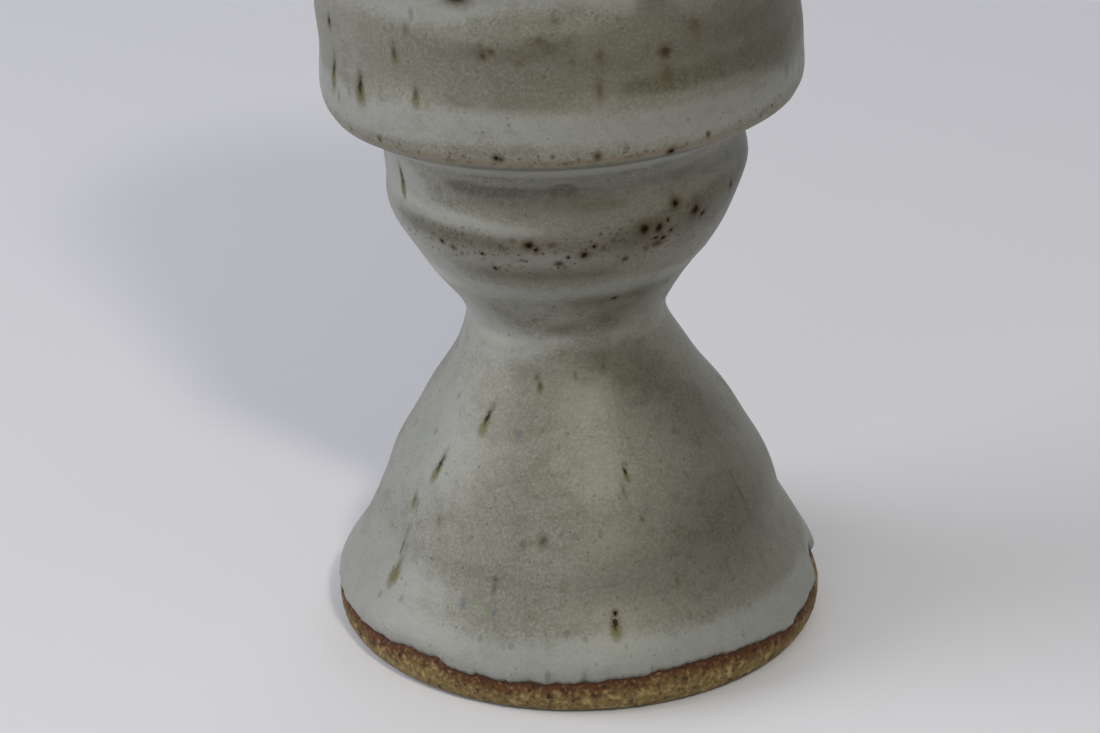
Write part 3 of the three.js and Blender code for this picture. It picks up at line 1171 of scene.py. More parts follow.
MARKS: dict[MarkKind, tuple[tuple[float, ...], ...]] = {
    MarkKind.SPECK: (
        (-155, 75, 0.3, 0.4), (-111, 81, 0.9, 0.6), (-105, 64.5, 0.28, 0.28), (-65, 63.5, 0.32, 0.32),
        (-40, 86.5, 0.35, 0.4), (140, 83, 0.35, 0.4), (-132, 51.5, 0.25, 0.25),
        (-101, 52.5, 0.46, 0.42), (-99, 52, 0.26, 0.36), (-117, 50.9, 0.2, 0.16),
        (-89, 50.8, 0.16, 0.16), (-84, 51, 0.38, 0.36), (-81, 52, 0.2, 0.2), (-65, 53, 0.52, 0.55),
        (-60, 52.8, 0.42, 0.5), (-60.5, 51.5, 0.3, 0.26), (-57.5, 51.3, 0.36, 0.24),
        (-57, 53.4, 0.2, 0.24), (-54, 55, 0.44, 0.44), (-46, 53.4, 0.6, 0.6), (-42, 52.6, 0.4, 0.35),
        (-55, 52, 0.22, 0.22), (-27, 54, 0.25, 0.4), (-114, 49, 0.22, 0.22), (-69, 43.6, 0.26, 0.16),
        (22, 52, 0.35, 0.35), (90, 51.5, 0.4, 0.35), (112, 52.5, 0.25, 0.3), (150, 51, 0.35, 0.35),
        (-81, 10.95, 0.22, 0.26),
    ),
    MarkKind.FAINT: (
        (-125, 77, 0.4, 0.5), (-93, 76.6, 0.7, 0.4), (-89, 78.5, 0.5, 0.5), (-81, 71.2, 0.45, 1),
        (-65, 71.8, 0.7, 0.9), (-80, 74.6, 0.5, 0.6), (-98, 74.4, 0.6, 0.3), (-57, 76, 0.9, 0.9),
        (-26, 67.5, 0.5, 0.7), (-123, 53, 0.3, 0.25), (-106, 53, 0.35, 0.35), (-93, 51.6, 0.22, 0.2),
        (-71, 52, 0.3, 0.25), (-74, 23, 0.25, 0.6), (-32, 19, 0.14, 2.4), (-106, 33.9, 0.35, 0.4),
        (-86, 34, 0.2, 0.4), (-71, 34.5, 0.3, 0.3), (-113, 13, 0.24, 0.5), (-135, 18.5, 0.3, 0.5),
        (-70, 20, 0.25, 0.35), (-63, 13, 0.25, 0.4),
    ),
    MarkKind.BROWN: (
        (-106, 75, 0.36, 0.36), (-104, 75.5, 0.3, 0.3), (-94, 52.5, 0.36, 0.3), (-110, 52.2, 0.24, 0.2),
        (-78, 51.6, 0.2, 0.2), (-75, 52.4, 0.24, 0.2), (-63, 50.5, 0.36, 0.4), (-49, 54.2, 0.22, 0.2),
        (-147, 13.7, 0.16, 1, 0.1), (-113, 14, 0.25, 0.24), (-100, 18.5, 0.4, 0.5),
    ),
    MarkKind.DASH: (
        (-155, 69.5, 0.7, 1.3, 0.1), (-142, 69.3, 0.8, 1.2), (-14, 74.5, 0.4, 1.6),
        (-118, 88, 0.35, 1.1), (-70, 93, 0.4, 0.9), (10, 79, 0.4, 1.1), (38, 71.5, 0.35, 0.9),
        (85, 75, 0.35, 1.2), (163, 76.5, 0.4, 1), (-151, 56.5, 0.5, 1.2, -0.25),
        (-127, 29.2, 0.5, 1.1, 0.2), (-142, 23.3, 0.5, 1, 0.1), (-72, 24.5, 0.3, 0.5, -0.1),
        (-81.3, 9.75, 0.66, 0.85), (5, 26, 0.3, 1), (34, 15, 0.35, 1.2), (72, 22, 0.3, 0.9),
        (128, 28, 0.3, 1), (160, 17, 0.35, 1.1),
    ),
    MarkKind.DRIP: (
        (118, 69, 0.4, 1), (-146, 11.5, 0.75, 1.4, 0.1), (98, 12, 0.5, 1.4),
    ),
    MarkKind.TRACE: (
        (-129, 74.2, 0.45, 0.8), (-124, 70.2, 0.5, 0.8), (-148, 19, 0.4, 0.6), (-104, 33, 0.35, 0.5),
    ),
    MarkKind.RUST: (
        (-65, 74, 0.45, 0.42), (64, 90, 0.4, 0.5), (-128, 51, 0.25, 0.2), (-70, 49.6, 0.22, 0.2),
        (-59, 50.8, 0.6, 0.3), (-92, 50, 0.3, 0.2), (55, 53, 0.3, 0.4),
    ),
    MarkKind.SMOKE: (
        (-111, 28.6, 0.3, 0.5), (-121, 10.9, 0.4, 0.6), (-112, 10.6, 0.3, 0.4),
    ),
}


@dataclass(frozen=True)
class EdgeMarks:
    """Small iron marks that dot the bowl's sharp edge at uneven places and of uneven sizes."""

    count: int = 54
    height: float = 64.2
    seed: int = 53
    stray: float = 1.2
    sizes: Point = (0.1, 0.26)
    lifts: Point = (-0.15, 0.5)
    lengths: Point = (0.8, 1.3)
    kinds: tuple[MarkKind, ...] = (MarkKind.BROWN, MarkKind.FAINT, MarkKind.RUST, MarkKind.FAINT)

    def marks(self) -> list[Mark]:
        """Draw the angle, size, lift and length of each mark in turn.

        Returns:
            The marks.
        """
        draw = np.random.default_rng(self.seed)
        marks = []
        for number in range(self.count):
            angle = (number + draw.uniform(-self.stray, self.stray)) * FULL_TURN / self.count
            size = draw.uniform(*self.sizes)
            height = self.height + draw.uniform(*self.lifts)
            kind = self.kinds[number % len(self.kinds)]
            marks.append(Mark(kind, angle, height, size, size * draw.uniform(*self.lengths)))
        return marks


def marks_on(skin: Skin, far: float = 9.0) -> dict[str, Array]:
    """Work out, for each corner of each face, where it lies from the face's nearest iron mark.

    The way across is the angle times the radius, the way up is the height, and each is divided by
    the mark's half size. One face keeps one mark, so the coordinates run evenly inside it.

    Args:
        skin: The surface that the marks lie on.
        far: The coordinates of a corner that no mark is near.

    Returns:
        The way across, the way up and the darkness as mark_place, and drip, rust and smoke as
        mark_kind, with three numbers for each corner.
    """
    corners = skin.corners()
    angles, radii, heights = (
        values.ravel()[corners] for values in (skin.angle, skin.radius, skin.height)
    )
    first_angle = angles[:, :1]
    centre_angle = (first_angle + from_angle(angles, first_angle)).mean(axis=1)
    centre_radius, centre_height = radii.mean(axis=1), heights.mean(axis=1)
    nearest = np.full(len(corners), np.inf)
    place = np.full((len(corners), 4, 3), (far, far, 0.0))
    kind = np.zeros((len(corners), 4, 3))
    given = [Mark(look, *row) for look, rows in MARKS.items() for row in rows]
    for mark in (*given, *EdgeMarks().marks()):
        dark, *rest = mark.kind.value
        away = np.radians(from_angle(centre_angle, mark.angle)) * centre_radius / mark.half_width
        distance = np.hypot(away, (centre_height - mark.height) / mark.half_length)
        closer = distance < nearest
        nearest = np.where(closer, distance, nearest)
        x = np.radians(from_angle(angles[closer], mark.angle)) * centre_radius[closer, None]
        y = heights[closer] - mark.height
        x = (x - mark.lean * y) / mark.half_width
        place[closer] = np.stack([x, y / mark.half_length, np.full_like(x, dark)], axis=-1)
        kind[closer] = rest
    return {"mark_place": place, "mark_kind": kind}


@dataclass(frozen=True)
class GlazeEdge:
    """The line where the glaze stops above the bare clay: heights at places chosen round the foot."""

    places: tuple[Point, ...] = (
        (-176, 4.2), (-162, 4.1), (-142, 4.2), (-134, 4.6), (-124, 4.6), (-121, 4), (-107, 3.9),
        (-93, 4.1), (-78, 4.4), (-63, 4.8), (-44, 4.3), (-34, 3.7), (-22, 4.3), (-12, 4.5), (-10, 5.9),
        (-5, 6.8), (0, 6.2), (4, 4.5), (20, 4.1), (45, 4.6), (70, 4), (95, 4.4), (120, 3.9), (150, 4.5),
    )
    scallop_depth: float = 0.09
    scallops: Ripple = Ripple(seed=51, least_waves=24, most_waves=70, count=30)
    nibble_depth: float = 0.05
    nibbles: Ripple = Ripple(seed=52, least_waves=90, most_waves=200, count=40)
    smooth_angle: float = 1.2
    smooth_count: int = 7

    def at(self, angle: Array) -> Array:
        """Read the edge: straight runs between the places, averaged over a little way, with scallops.

        Args:
            angle: Places round the foot in degrees.

        Returns:
            The height of the edge in millimetres.
        """
        way, height = np.array(self.places).T
        offsets = np.linspace(-self.smooth_angle, self.smooth_angle, self.smooth_count)
        runs = sum(np.interp(angle + offset, way, height, period=FULL_TURN) for offset in offsets)
        scallops = self.scallop_depth * self.scallops.at(angle)
        return runs / len(offsets) + scallops + self.nibble_depth * self.nibbles.at(angle)


@dataclass
class Goblet:
    """What the pieces of the goblet share: the clay's outline, the hand's marks and the finishes."""

    BURIED_CLAY = np.array([0.0, 1.0, 0.0])
    outline: Outline = field(default_factory=Outline)
    edge: GlazeEdge = GlazeEdge()

    def __post_init__(self) -> None:
        """Work out the hand's marks and make the finishes."""
        self.hand = HandMarks(self.outline)
        self.clay = BareClayFinish().material()
        self.slip = SlipFinish().material()
        self.glaze = GlazeFinish().material()

    def skin(self, profile: Array, columns: int, outer_rows: int, ends: Ends = Ends.LOOP) -> Skin:
        """Turn a closed profile, with the hand's relief on its outside.

        Args:
            profile: Rows of radius and height.
            columns: How many columns there are round the pot.
            outer_rows: How many of the first rows lie on the outside.
            ends: How the profile closes.

        Returns:
            The surface, before it leans and tilts.
        """
        skin = Skin.turned(profile, columns, ends)
        outer = slice(outer_rows)
        skin.radius[outer] += self.hand.relief(skin.angle[outer], skin.height[outer])
        return skin

    def seat(
        self, skin: Skin, name: str, node: str, slot: str, finish: bpy.types.Material, **stored: Array
    ) -> bpy.types.Object:
        """Build a piece from its skin and set it in the frame in place of a node.

        Args:
            skin: The piece's surface.
            name: The piece's name.
            node: The node that it stands for.
            slot: Not used.
            finish: The material.
            stored: What the material reads on each vertex, by name.

        Returns:
            The piece.
        """
        piece = skin.build(name, self.hand)
        for attribute, values in stored.items():
            store(piece, attribute, values)
        piece.data.materials.append(finish)
        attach(piece, BODY)
        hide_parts(node)
        triangles = sum(len(face.vertices) - 2 for face in piece.data.polygons)
        log.info("%s: %d triangles", piece.name, triangles)
        return piece


@dataclass
class PedestalFoot:
    """The bare clay foot: its sole, the toasted bead under the glaze and the trimmed hollow."""

    goblet: Goblet
    columns: int = 480
    bead_rows: int = 40
    outer_rows: int = 70
    inner_rows: int = 70
    dense_height: float = 6.7
    trim_depth: float = 0.12
    trim_pitch: float = 2.1
    grit_depth: float = 0.03
    grit_sink: float = 1.8
    grit_heights: tuple[float, ...] = (0.0, 0.6, 5.0, 8.0)
    slow_share: float = 0.5
    trim_heights: Point = (1.0, 3.0)
    sole_shade_and_wear_heights: Point = (0.1, 0.5)
    rough: Ripple = Ripple(seed=31, least_waves=20, most_waves=150, climb=7.0, count=48)
    slow: Ripple = Ripple(seed=32, least_waves=8, most_waves=26, climb=1.2, count=20)

    def profile(self) -> Array:
        """Draw the closed profile: up the outside, across the top, down the hollow and out again.

        Returns:
            Rows of radius and height.
        """
        line = self.goblet.outline
        outside = line.outside()
        dense, top = outside.along_at(np.array([self.dense_height, line.foot_top]))
        low = np.linspace(0.0, dense, self.bead_rows, endpoint=False)
        high = np.linspace(dense, top, self.outer_rows)
        outer = np.column_stack(outside.at(np.concatenate([low, high])))
        return np.vstack([outer, line.foot_hollow().spaced(self.inner_rows)[::-1]])

    def grit(self, angle: Array, height: Array) -> Array:
        """Roughen the bead with fine sines round and up it, faded out at the sole and above."""
        waves = self.rough.at(angle, height) + self.slow_share * self.slow.at(angle, height)
        return self.grit_depth * hill(height, *self.grit_heights) * (waves - self.grit_sink)

    def trims(self, angle: Array, height: Array) -> Array:
        """Cut the trimming tool's grooves, |sin| of a spiral that climbs one pitch a turn.

        Args:
            angle: Places round the pot in degrees.
            height: Heights in millimetres.

        Returns:
            How deep they are, in millimetres.
        """
        turns = height / self.trim_pitch - angle / FULL_TURN
        faded = smooth_step(height, *self.trim_heights)
        return self.trim_depth * faded * np.abs(np.sin(math.pi * turns))

    def build(self) -> None:
        """Build the foot, and store how far under the glaze, inside and near the sole a vertex is."""
        split = self.bead_rows + self.outer_rows
        skin = self.goblet.skin(self.profile(), self.columns, split)
        outer, hollow = slice(split), slice(split, None)
        skin.radius[outer] += self.grit(skin.angle[outer], skin.height[outer])
        skin.radius[hollow] += self.trims(skin.angle[hollow], skin.height[hollow])
        inside = np.zeros_like(skin.height)
        inside[hollow] = 1.0
        # low darkens the clay near the sole: painted contact shadow, partly wear.
        low = (1.0 - inside) * (1.0 - smooth_step(skin.height, *self.sole_shade_and_wear_heights))
        clay = np.stack([self.goblet.edge.at(skin.angle) - skin.height, inside, low], axis=-1)
        names = ("pedestal_foot_clay", "pedestal_foot", "stoneware_clay")
        self.goblet.seat(skin, *names, self.goblet.clay, clay=clay)


@dataclass
class Knop:
    """The clay of the hollow knop, which the glaze covers outside."""

    goblet: Goblet
    columns: int = 192
    rows: int = 48

    def build(self) -> None:
        """Build the knop from its outside and its hollow."""
        line = self.goblet.outline
        outer = line.outside().between(line.knop_base, line.knop_top).spaced(self.rows)
        profile = np.vstack([outer, line.knop_hollow().spaced(self.rows)[::-1]])
        skin = self.goblet.skin(profile, self.columns, self.rows)
        names = ("knop_clay", "knop", "stoneware_clay")
        self.goblet.seat(skin, *names, self.goblet.clay, clay=self.goblet.BURIED_CLAY)


@dataclass
class Bowl:
    """The clay of the bowl, which the two glazes cover."""

    goblet: Goblet
    columns: int = 192
    outer_rows: int = 90
    inner_rows: int = 60
    base_shares: tuple[float, ...] = (0.1, 0.55)

    def build(self) -> None:
        """Build the bowl from its base, its outside over the lip and its inside down to the floor."""
        line = self.goblet.outline
        outside = line.outside()
        way = np.linspace(outside.along_at(line.bowl_base), outside.along()[-1], self.outer_rows)
        outer = np.column_stack(outside.at(way))
        base = outer[0] * np.array([[share, 1.0] for share in self.base_shares])
        profile = np.vstack([base, outer, line.inside().spaced(self.inner_rows)[1:-1]])
        skin = self.goblet.skin(profile, self.columns, len(base) + len(outer), Ends.POLES)
        names = ("bowl_clay", "bowl", "stoneware_clay")
        self.goblet.seat(skin, *names, self.goblet.clay, clay=self.goblet.BURIED_CLAY)


@dataclass
class SlipJoint:
    """A layer of slip between two sections, with the bead of it that was pressed out inside."""

    goblet: Goblet
    node: str
    height: float
    inner_radius: float
    drop: float
    bead_radius: float = 0.9
    columns: int = 192
    outer_rows: int = 5
    bead_rows: int = 28
    lump_depth: float = 0.12
    lumps: Ripple = Ripple(seed=41, least_waves=3, most_waves=22, count=20)

    def build(self) -> None:
        """Build the layer, whose outer face follows the pot and whose bead swells and thins."""
        line = self.goblet.outline
        low, high = self.height - line.slip_thickness / 2, self.height + line.slip_thickness / 2
        outer = line.outside().between(low, high).spaced(self.outer_rows)
        centre = (self.inner_radius - line.seat_clearance - self.bead_radius, self.height - self.drop)
        start = math.asin((high - centre[1]) / self.bead_radius)
        end = 2 * math.pi + math.asin((low - centre[1]) / self.bead_radius)
        way = np.linspace(start, end, self.bead_rows)
        skin = Skin.turned(np.vstack([outer, arc(centre, self.bead_radius, way)]), self.columns)
        swell = np.sin((way - start) / (end - start) * math.pi)[:, None]
        bead = slice(self.outer_rows, None)
        skin.radius[bead] += self.lump_depth * self.lumps.at(skin.angle[bead]) * swell
        names = (self.node + "_bead", self.node, "joining_slip")
        self.goblet.seat(skin, *names, self.goblet.slip)


@dataclass
class OuterGlaze:
    """The grey glaze over the outside of the pot, from its wavy edge up over the lip."""

    goblet: Goblet
    columns: int = 400
    foot_rows: int = 26
    body_rows: int = 176
    back_rows: int = 44
    thickness: float = 0.56
    roll: float = 0.12
    roll_centre: float = 1.575
    roll_half: float = 2.25
    free_height: float = 9.0
    free_power: float = 1.5
    lip_lap: float = 3.2
    contact_rise: float = 0.42
    sink: float = 0.04
    back_lift: float = 0.35
    far: float = 20.0
    runs_depth: float = 0.012
    runs: Ripple = Ripple(seed=71, least_waves=6, most_waves=30, climb=0.5, count=24)
    # Where the warm tint is strongest: partly warm glaze, partly painted shade on the right side.
    shade_and_warm_side: float = -60.0
    warm_least: float = 0.35
    warm_way: Point = (-90.0, -40.0)
    most: tuple[float, ...] = (1.0, 1.0, 2.0)
    # Warm zones. The patches on the right, from about -54 to -40, are partly painted shade of that
    # side, partly warm glaze.
    warm: tuple[Zone, ...] = (
        Band(70.8, 77.2, 1.7, 1, 0.7, 61), Patch(-42, 83, 30, 9, 1), Band(85, 89.5, 2, 0.6, 1.3, 62),
        Band(96.5, 100.5, 2.4, 0.5, 1.6, 63), Patch(-54, 34.3, 16, 2.8, 1), Patch(-40, 20, 18, 4, 0.4),
        # Patch(-74, 57) darkens the knop's top under the bowl's overhang: painted shade.
        Patch(-74, 57, 44, 1.6, 0.7), Patch(-72, 52.6, 46, 3.4, 0.8), Patch(-80, 48, 60, 3, 0.3),
        Patch(-90, 34, 30, 3, 0.4), Patch(-50, 67, 44, 2.6, 0.45), Patch(60, 30, 20, 3, 0.6),
        Patch(140, 22, 24, 4, 0.5),
    )
    # Olive zones. The patches on the right, from about -50 to -10, are partly painted shade of that
    # side, partly olive glaze.
    olive: tuple[Zone, ...] = (
        Sweep(-84, -22, 70.7, 71, 1, 1), Sweep(-100, 10, 73, 76, 2, 0.35),
        Patch(-92, 76.2, 10, 1.2, 0.8), Patch(-100, 75, 14, 0.9, 0.4), Patch(-107, 75.6, 4, 0.8, 0.6),
        Sweep(-122, -84, 70.1, 70, 0.5, 0.45, 8), Band(50.6, 53.8, 1.2, 0.22, 0.4, 77),
        Sweep(-165, -96, 52.8, 52.2, 1.1, 0.65, 20), Sweep(-116, -66, 52.2, 52, 0.9, 0.3, 20),
        Sweep(-84, -4, 51.9, 54.9, 1.6, 0.85), Sweep(-140, -60, 48.2, 47.9, 1.1, 0.7, 22),
        Sweep(-96, -30, 43.3, 43.7, 0.9, 0.6), Sweep(-86, -30, 40.6, 43, 1.3, 0.4),
        Sweep(-106, -78, 39.1, 39.9, 0.8, 0.6, 14), Patch(-68, 39.6, 14, 2.2, 0.4),
        # From here to Patch(-60, 58.2): painted shade on the knop's top under the bowl's overhang, with
        # olive glaze in the crease.
        Sweep(-134, -66, 57, 56.6, 1.2, 0.6, 24), Sweep(-96, -30, 55.6, 56.4, 1.6, 0.4, 24),
        # Band(62.5, 63.3) is a painted shadow line just under the bowl's sharp edge.
        Sweep(-130, -76, 58.3, 58.6, 0.6, 0.7), Band(62.5, 63.3, 0.3, 0.5, 0.05, 78),
        Patch(-123, 58.4, 6, 0.7, 1), Patch(-110, 58.3, 8, 0.5, 0.6), Patch(-90, 58.7, 3, 0.6, 1),
        Patch(-60, 58.2, 22, 0.8, 0.4), Patch(-61, 52.8, 7, 1.3, 1), Patch(-44, 82, 20, 7, 0.65),
        Patch(-36, 72.5, 26, 3.6, 0.4), Patch(-112, 34, 8, 1.2, 0.5), Patch(-34, 52.4, 18, 3.8, 0.8),
        Patch(-30, 69.4, 16, 2, 0.5), Patch(-66, 79.5, 5, 2.6, 0.6), Patch(-78, 33.8, 12, 2.4, 0.45),
        Patch(-47, 53.6, 6, 1.1, 0.8), Patch(-48, 32.6, 18, 3.4, 0.7), Patch(-32, 27.5, 18, 3.8, 0.6),
        Patch(-44, 17.5, 26, 4.4, 0.6), Patch(-62, 12, 30, 2.6, 0.35), Patch(-76, 16.5, 22, 2.4, 0.2),
        Patch(-72, 35.5, 12, 1.6, 0.4), Patch(-112, 30.5, 12, 1.8, 0.3), Patch(-10, 70, 24, 7, 0.4),
        Patch(-30, 20, 40, 14, 0.35), Patch(30, 16, 24, 5, 0.5), Patch(80, 72, 30, 2, 0.5),
        Patch(110, 17, 20, 4, 0.4), Patch(170, 30, 18, 4, 0.35), Patch(20, 52.5, 16, 1.6, 0.5),
        Patch(130, 52, 20, 1.6, 0.55),
    )
    pale: tuple[Zone, ...] = (
        Band(-2, 8.6, 1.8, 1, 0.5, 64), Band(36.4, 38, 1, 0.4, 0.5, 65),
        # Band(60.4, 62), with a share of 1.5, turns the fillet under the bowl's edge milky: a painted
        # highlight, partly glaze pooled there.
        Band(44.4, 46.4, 0.8, 0.6, 0.4, 66), Band(60.4, 62, 0.5, 1.5, 0.1, 67),
        Band(64.9, 69, 1.1, 0.75, 0.4, 68), Band(78.3, 83.6, 1.8, 0.85, 0.7, 69),
        Patch(-95, 50.6, 24, 1.5, 0.7), Patch(-100, 43.4, 24, 3.4, 0.4),
        Patch(-115, 72.6, 16, 2.6, 0.5), Band(91, 94.6, 2.4, 0.7, 1.6, 70), Patch(36, 75, 30, 4, 0.7),
        Patch(150, 87, 34, 4, 0.6), Patch(96, 24, 26, 9, 0.6), Patch(176, 100, 30, 4, 0.5),
        # Sweep(-172, -78) lies along a ridge of the knop: painted highlight on its crest.
        Sweep(-172, -78, 55.6, 53.4, 0.9, 1, 34), Patch(-152, 44, 26, 5, 0.8),
        # Patch(-152, 44) above and the patches near -150 to -165 here and below are partly painted
        # light on the lit left side, partly pale glaze.
        Patch(-165, 27, 30, 16, 0.7), Patch(-150, 11, 28, 2.6, 0.9), Patch(-126, 37.2, 26, 2.4, 1),
        Patch(-150, 74, 22, 5, 0.3), Patch(-160, 50, 26, 6, 0.7), Patch(-152, 57.6, 18, 3, 1),
        Patch(-150, 24, 20, 9, 0.5), Patch(-99, 17.5, 9, 5, 0.4),
    )
    specked: tuple[Zone, ...] = (
        Band(48.6, 53.6, 0.9, 0.85, 0.5, 73), Band(63.9, 64.8, 0.5, 0.9, 0.1, 76),
        Sweep(-84, -4, 51.2, 54.8, 1.3, 0.5), Band(73.5, 77.5, 1.5, 0.12, 0.5, 74),
        Band(10, 36, 4, 0.2, 0.5, 75),
    )

    def __post_init__(self) -> None:
        """Join the clay's lines, and lay the rows of the coat along them."""
        line = self.goblet.outline
        self.angle = columns_round(self.columns)
        self.path = Profile.chain(line.outside().points, line.inside().points)
        self.along = self.spread()

    def spread(self) -> Array:
        """Lay the rows of the coat along the clay: free ones up from the wavy edge, then even ones.

        Returns:
            The distance along the clay for each row and column.
        """
        level = self.path.along_at(self.free_height)
        lap = self.path.along_down(self.path.points[self.path.top(), 1] - self.lip_lap)
        start = self.path.along_at(self.goblet.edge.at(self.angle))
        share = np.linspace(0.0, 1.0, self.foot_rows, endpoint=False)[:, None] ** self.free_power
        high = np.linspace(level, lap, self.body_rows)[:, None] + np.zeros_like(self.angle)
        return np.vstack([start + (level - start) * share, high])

    def laid(self, along: Array, lift: Number) -> tuple[Array, Array]:
        """Lay rows over the clay, and let them follow the hand's relief on the outside.

        Args:
            along: The distance along the clay for each row and column.
            lift: How far above the clay.

        Returns:
            Radius and height of each vertex.
        """
        radius, height = self.path.at(along, lift)
        relief = self.goblet.hand.relief(self.angle, height)
        inner = along > self.path.along()[self.path.top()]
        return radius + np.where(inner, 0.0, relief), height

    def face(self) -> tuple[Array, Array]:
        """Lay the coat's face: full thickness, a roll above the edge, and round contacts at both ends.

        The thickness is (clearance + thickness + roll bell + runs) times 1 - exp(-d / contact) at
        each end, less a little sink into the clay, where d is the distance from that end.

        Returns:
            Radius and height of each vertex.
        """
        from_edge, from_lap = self.along - self.along[:1], self.along[-1:] - self.along
        runs = self.runs_depth * self.runs.at(self.angle, self.path.at(self.along)[1])
        full = self.goblet.outline.seat_clearance + self.thickness + runs
        full = full + self.roll * bell(from_edge, self.roll_centre, self.roll_half)
        closing = 1.0 - np.exp(-from_edge / self.contact_rise)
        closing = closing * (1.0 - np.exp(-from_lap / self.contact_rise))
        return self.laid(self.along, full * closing - self.sink)

    def zones(self, height: Array) -> Array:
        """Add up the zones of warm, olive and pale glaze, which also hold painted light and shade.

        Args:
            height: The height of each vertex.

        Returns:
            The three shares of each vertex, up to 1, 1 and 2.
        """
        # The warm tint is strongest towards the front right: partly warm glaze, partly painted shade on
        # the side away from the main light.
        side = -np.abs(from_angle(self.angle, self.shade_and_warm_side))
        shade_and_warm_share = self.warm_least + (1.0 - self.warm_least) * smooth_step(side, *self.warm_way)
        kinds = (self.warm, self.olive, self.pale)
        warm, olive, pale = (added(zones, self.angle, height) for zones in kinds)
        return np.clip(np.stack([warm * shade_and_warm_share, olive, pale], axis=-1), 0.0, self.most)

    def build(self) -> None:
        """Build the coat as one closed skin and store its zones, its thin places and its marks."""
        back_along = self.along[np.linspace(len(self.along) - 2, 1, self.back_rows).astype(int)]
        back = self.laid(back_along, self.back_lift * self.goblet.outline.seat_clearance)
        radius, height = (np.vstack(rows) for rows in zip(self.face(), back))
        skin = Skin(np.repeat(self.angle, len(radius), axis=0), radius, height)
        from_edge = np.vstack([self.along - self.along[:1], np.full(back_along.shape, self.far)])
        specks = np.clip(added(self.specked, self.angle, height), 0.0, 1.0)
        coat = np.stack([from_edge, height, specks], axis=-1)
        names = ("grey_glaze_coat", "outer_glaze", "grey_glaze")
        stored = {"zones": self.zones(height), "coat": coat}
        piece = self.goblet.seat(skin, *names, self.goblet.glaze, **stored)
        for name, values in marks_on(skin).items():
            store(piece, name, values, "CORNER")


@dataclass
class LinerGlaze:
    """The paler glaze inside the bowl, up to the lap of the outer one."""

    goblet: Goblet
    columns: int = 256
    rows: int = 120
    thickness: float = 0.55
    lip_lap: float = 3.2
    groove: float = 0.1
    top_round: float = 0.5
    sink: float = 0.04
    back_lift: float = 0.35
    far: float = 9.0
    ring_depth: float = 0.12
    ring_start: float = 4.0
    calm_radius: float = 2.0
    ringed_radius: float = 12.0
    uneven_depth: float = 0.06
    uneven: Ripple = Ripple(seed=81, least_waves=1, most_waves=9, climb=0.3)
    warm: Band = Band(80.0, 92.0, 3.0, 0.35, 1.5, 82)
    pale: float = 0.8
    specked: float = 0.15

    def build(self) -> None:
        """Build the liner: its back on the clay, and its face with throwing rings and a round top."""
        line = self.goblet.outline
        inside = line.inside()
        top = inside.along_down(line.rim_height - self.lip_lap - self.groove)
        angle = columns_round(self.columns)
        along = np.linspace(top, inside.along()[-1], self.rows)[:-1, None] + np.zeros_like(angle)
        radius, height = inside.at(along)
        turns = height / self.goblet.hand.ring_pitch - angle / FULL_TURN
        fade = smooth_step(along, top, top + self.ring_start)
        fade = fade * smooth_step(radius, self.calm_radius, self.ringed_radius)
        rings = self.ring_depth * np.cos(2 * math.pi * turns)
        rings = fade * (rings + self.uneven_depth * self.uneven.at(angle, height))
        closing = 1.0 - np.exp(-(along - top) / self.top_round)
        full = (line.seat_clearance + self.thickness) * closing
        back = inside.at(along[::-1], self.back_lift * line.seat_clearance)
        face = inside.at(along, full + rings - self.sink)
        radius, height = (np.vstack(rows) for rows in zip(back, face))
        skin = Skin(np.repeat(angle, len(radius), axis=0), radius, height, Ends.POLES)
        from_top = np.vstack([np.full(along.shape, self.far), along - top])
        warm = self.warm.at(angle, height)
        zones = np.stack(np.broadcast_arrays(warm, 0.0, self.pale), axis=-1)
        coat = np.stack(np.broadcast_arrays(from_top, 0.0, self.specked), axis=-1)
        names = ("liner_glaze_coat", "liner_glaze", "liner_glaze")
        self.goblet.seat(skin, *names, self.goblet.glaze, zones=zones, coat=coat)


class LampJob(Enum):
    """What each lamp does: its place, size, power and colour, and its share in matt light."""

    WINDOW = ((-0.8, -0.1, 0.42), 0.62, 4.6, (0.97, 0.985, 1.0), 1.0)
    FRONT = ((-0.35, -0.8, 0.5), 0.7, 0.9, (1.0, 1.0, 1.0), 1.0)
    FILL = ((0.66, -0.3, 0.3), 0.5, 0.12, (1.0, 0.86, 0.64), 1.0)
    BACK = ((0.2, 0.75, 0.42), 0.6, 1.0, (0.99, 0.99, 1.0), 1.0)
    GLINT = ((0.12, -0.39, 0.4), 0.06, 1.0, (1.0, 0.97, 0.8), 0.1)


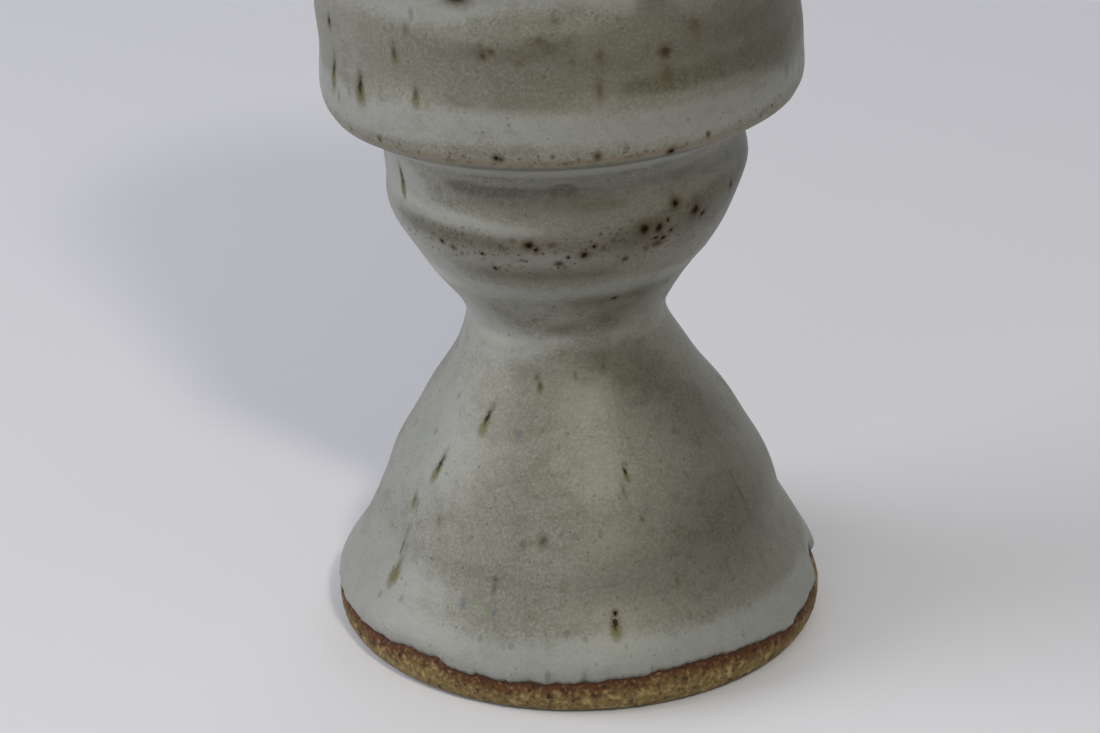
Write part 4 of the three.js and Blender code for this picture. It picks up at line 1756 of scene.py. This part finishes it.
@dataclass
class Studio:
    """A plain pale floor and soft light, and the camera at the photograph's viewing angle."""

    floor_colour: Colour = (230, 229, 235)
    floor_roughness: float = 0.9
    floor_size: float = 8.0
    sky_colour: Colour = (224, 228, 236)
    sky_strength: float = 0.33
    backdrop_strength: float = 0.7
    lamps_aim: tuple[float, float, float] = (0.0, 0.0, 0.05)
    camera_place: tuple[float, float, float] = (-0.13, -287.2, 153.4)
    pitch: float = 0.4072
    roll: float = -0.0183
    yaw: float = -0.0099
    sensor_width: float = 36.0
    image_width: float = 1100.0
    focus_in_pixels: float = 2750.0
    nearest: float = 0.01

    def camera(self) -> None:
        """Set the camera: it looks down by the pitch, turned by the yaw and leaned by the roll."""
        data = bpy.data.cameras.new("camera")
        data.sensor_width = self.sensor_width
        data.lens = self.focus_in_pixels / self.image_width * self.sensor_width
        data.clip_start = self.nearest
        holder = bpy.data.objects.new("camera", data)
        turns = ((-self.yaw, "Z"), (math.pi / 2 - self.pitch, "X"), (self.roll, "Z"))
        yaw, pitch, roll = (Matrix.Rotation(angle, 4, axis) for angle, axis in turns)
        place = Matrix.Translation(Vector(self.camera_place) * MILLIMETRE)
        holder.matrix_world = place @ yaw @ pitch @ roll
        bpy.context.scene.collection.objects.link(holder)
        bpy.context.scene.camera = holder

    def floor(self) -> None:
        """Lay a wide, plain matt floor."""
        half = self.floor_size / 2
        corners = [(-half, -half, 0), (half, -half, 0), (half, half, 0), (-half, half, 0)]
        mesh = bpy.data.meshes.new("floor")
        mesh.from_pydata(corners, [], [(0, 1, 2, 3)])
        floor = bpy.data.objects.new("floor", mesh)
        bpy.context.scene.collection.objects.link(floor)
        surface = {"Base Color": linear(self.floor_colour), "Roughness": self.floor_roughness}
        mesh.materials.append(Recipe(bpy.data.materials.new("studio_floor")).finished(surface))

    def lamps(self) -> None:
        """Hang each lamp, a soft square that faces the middle of the pot."""
        for job in LampJob:
            place, size, power, colour, matt = job.value
            data = bpy.data.lights.new(job.name.lower(), "AREA")
            data.energy, data.size, data.color, data.diffuse_factor = power, size, colour, matt
            lamp = bpy.data.objects.new(job.name.lower(), data)
            lamp.location = place
            way = Vector(self.lamps_aim) - Vector(place)
            lamp.rotation_euler = way.to_track_quat("-Z", "Y").to_euler()
            bpy.context.scene.collection.objects.link(lamp)

    def sky(self) -> None:
        """Fill the surroundings with an even pale light, brighter where it is seen or mirrored."""
        mix = Recipe(bpy.data.worlds.new("surroundings"), "Background")
        ray = mix.node("LightPath").outputs
        seen = mix.math("MAXIMUM", ray["Is Camera Ray"], ray["Is Glossy Ray"])
        seen = mix.math("MAXIMUM", seen, ray["Is Transmission Ray"])
        strength = mix.between(seen, self.sky_strength, self.backdrop_strength)
        surface = {"Color": linear(self.sky_colour), "Strength": strength}
        bpy.context.scene.world = mix.finished(surface)

    def build(self) -> None:
        """Set up the camera, the floor and the light."""
        bpy.context.scene.view_settings.view_transform = "Standard"
        self.camera()
        self.floor()
        self.lamps()
        self.sky()


def main() -> None:
    """Build the studio and the goblet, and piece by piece."""
    logging.basicConfig(level=logging.INFO, format="%(message)s")
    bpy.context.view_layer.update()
    Studio().build()
    goblet = Goblet()
    line = goblet.outline
    bead_drop = SlipJoint.bead_radius - line.slip_thickness / 2
    PedestalFoot(goblet).build()
    Knop(goblet).build()
    Bowl(goblet).build()
    SlipJoint(goblet, "waist_slip", line.waist_height, line.bore_radius, 0.0).build()
    SlipJoint(goblet, "bowl_slip", line.joint_height, line.mouth_radius, bead_drop).build()
    OuterGlaze(goblet).build()
    LinerGlaze(goblet).build()


if __name__ == "__main__":
    main()
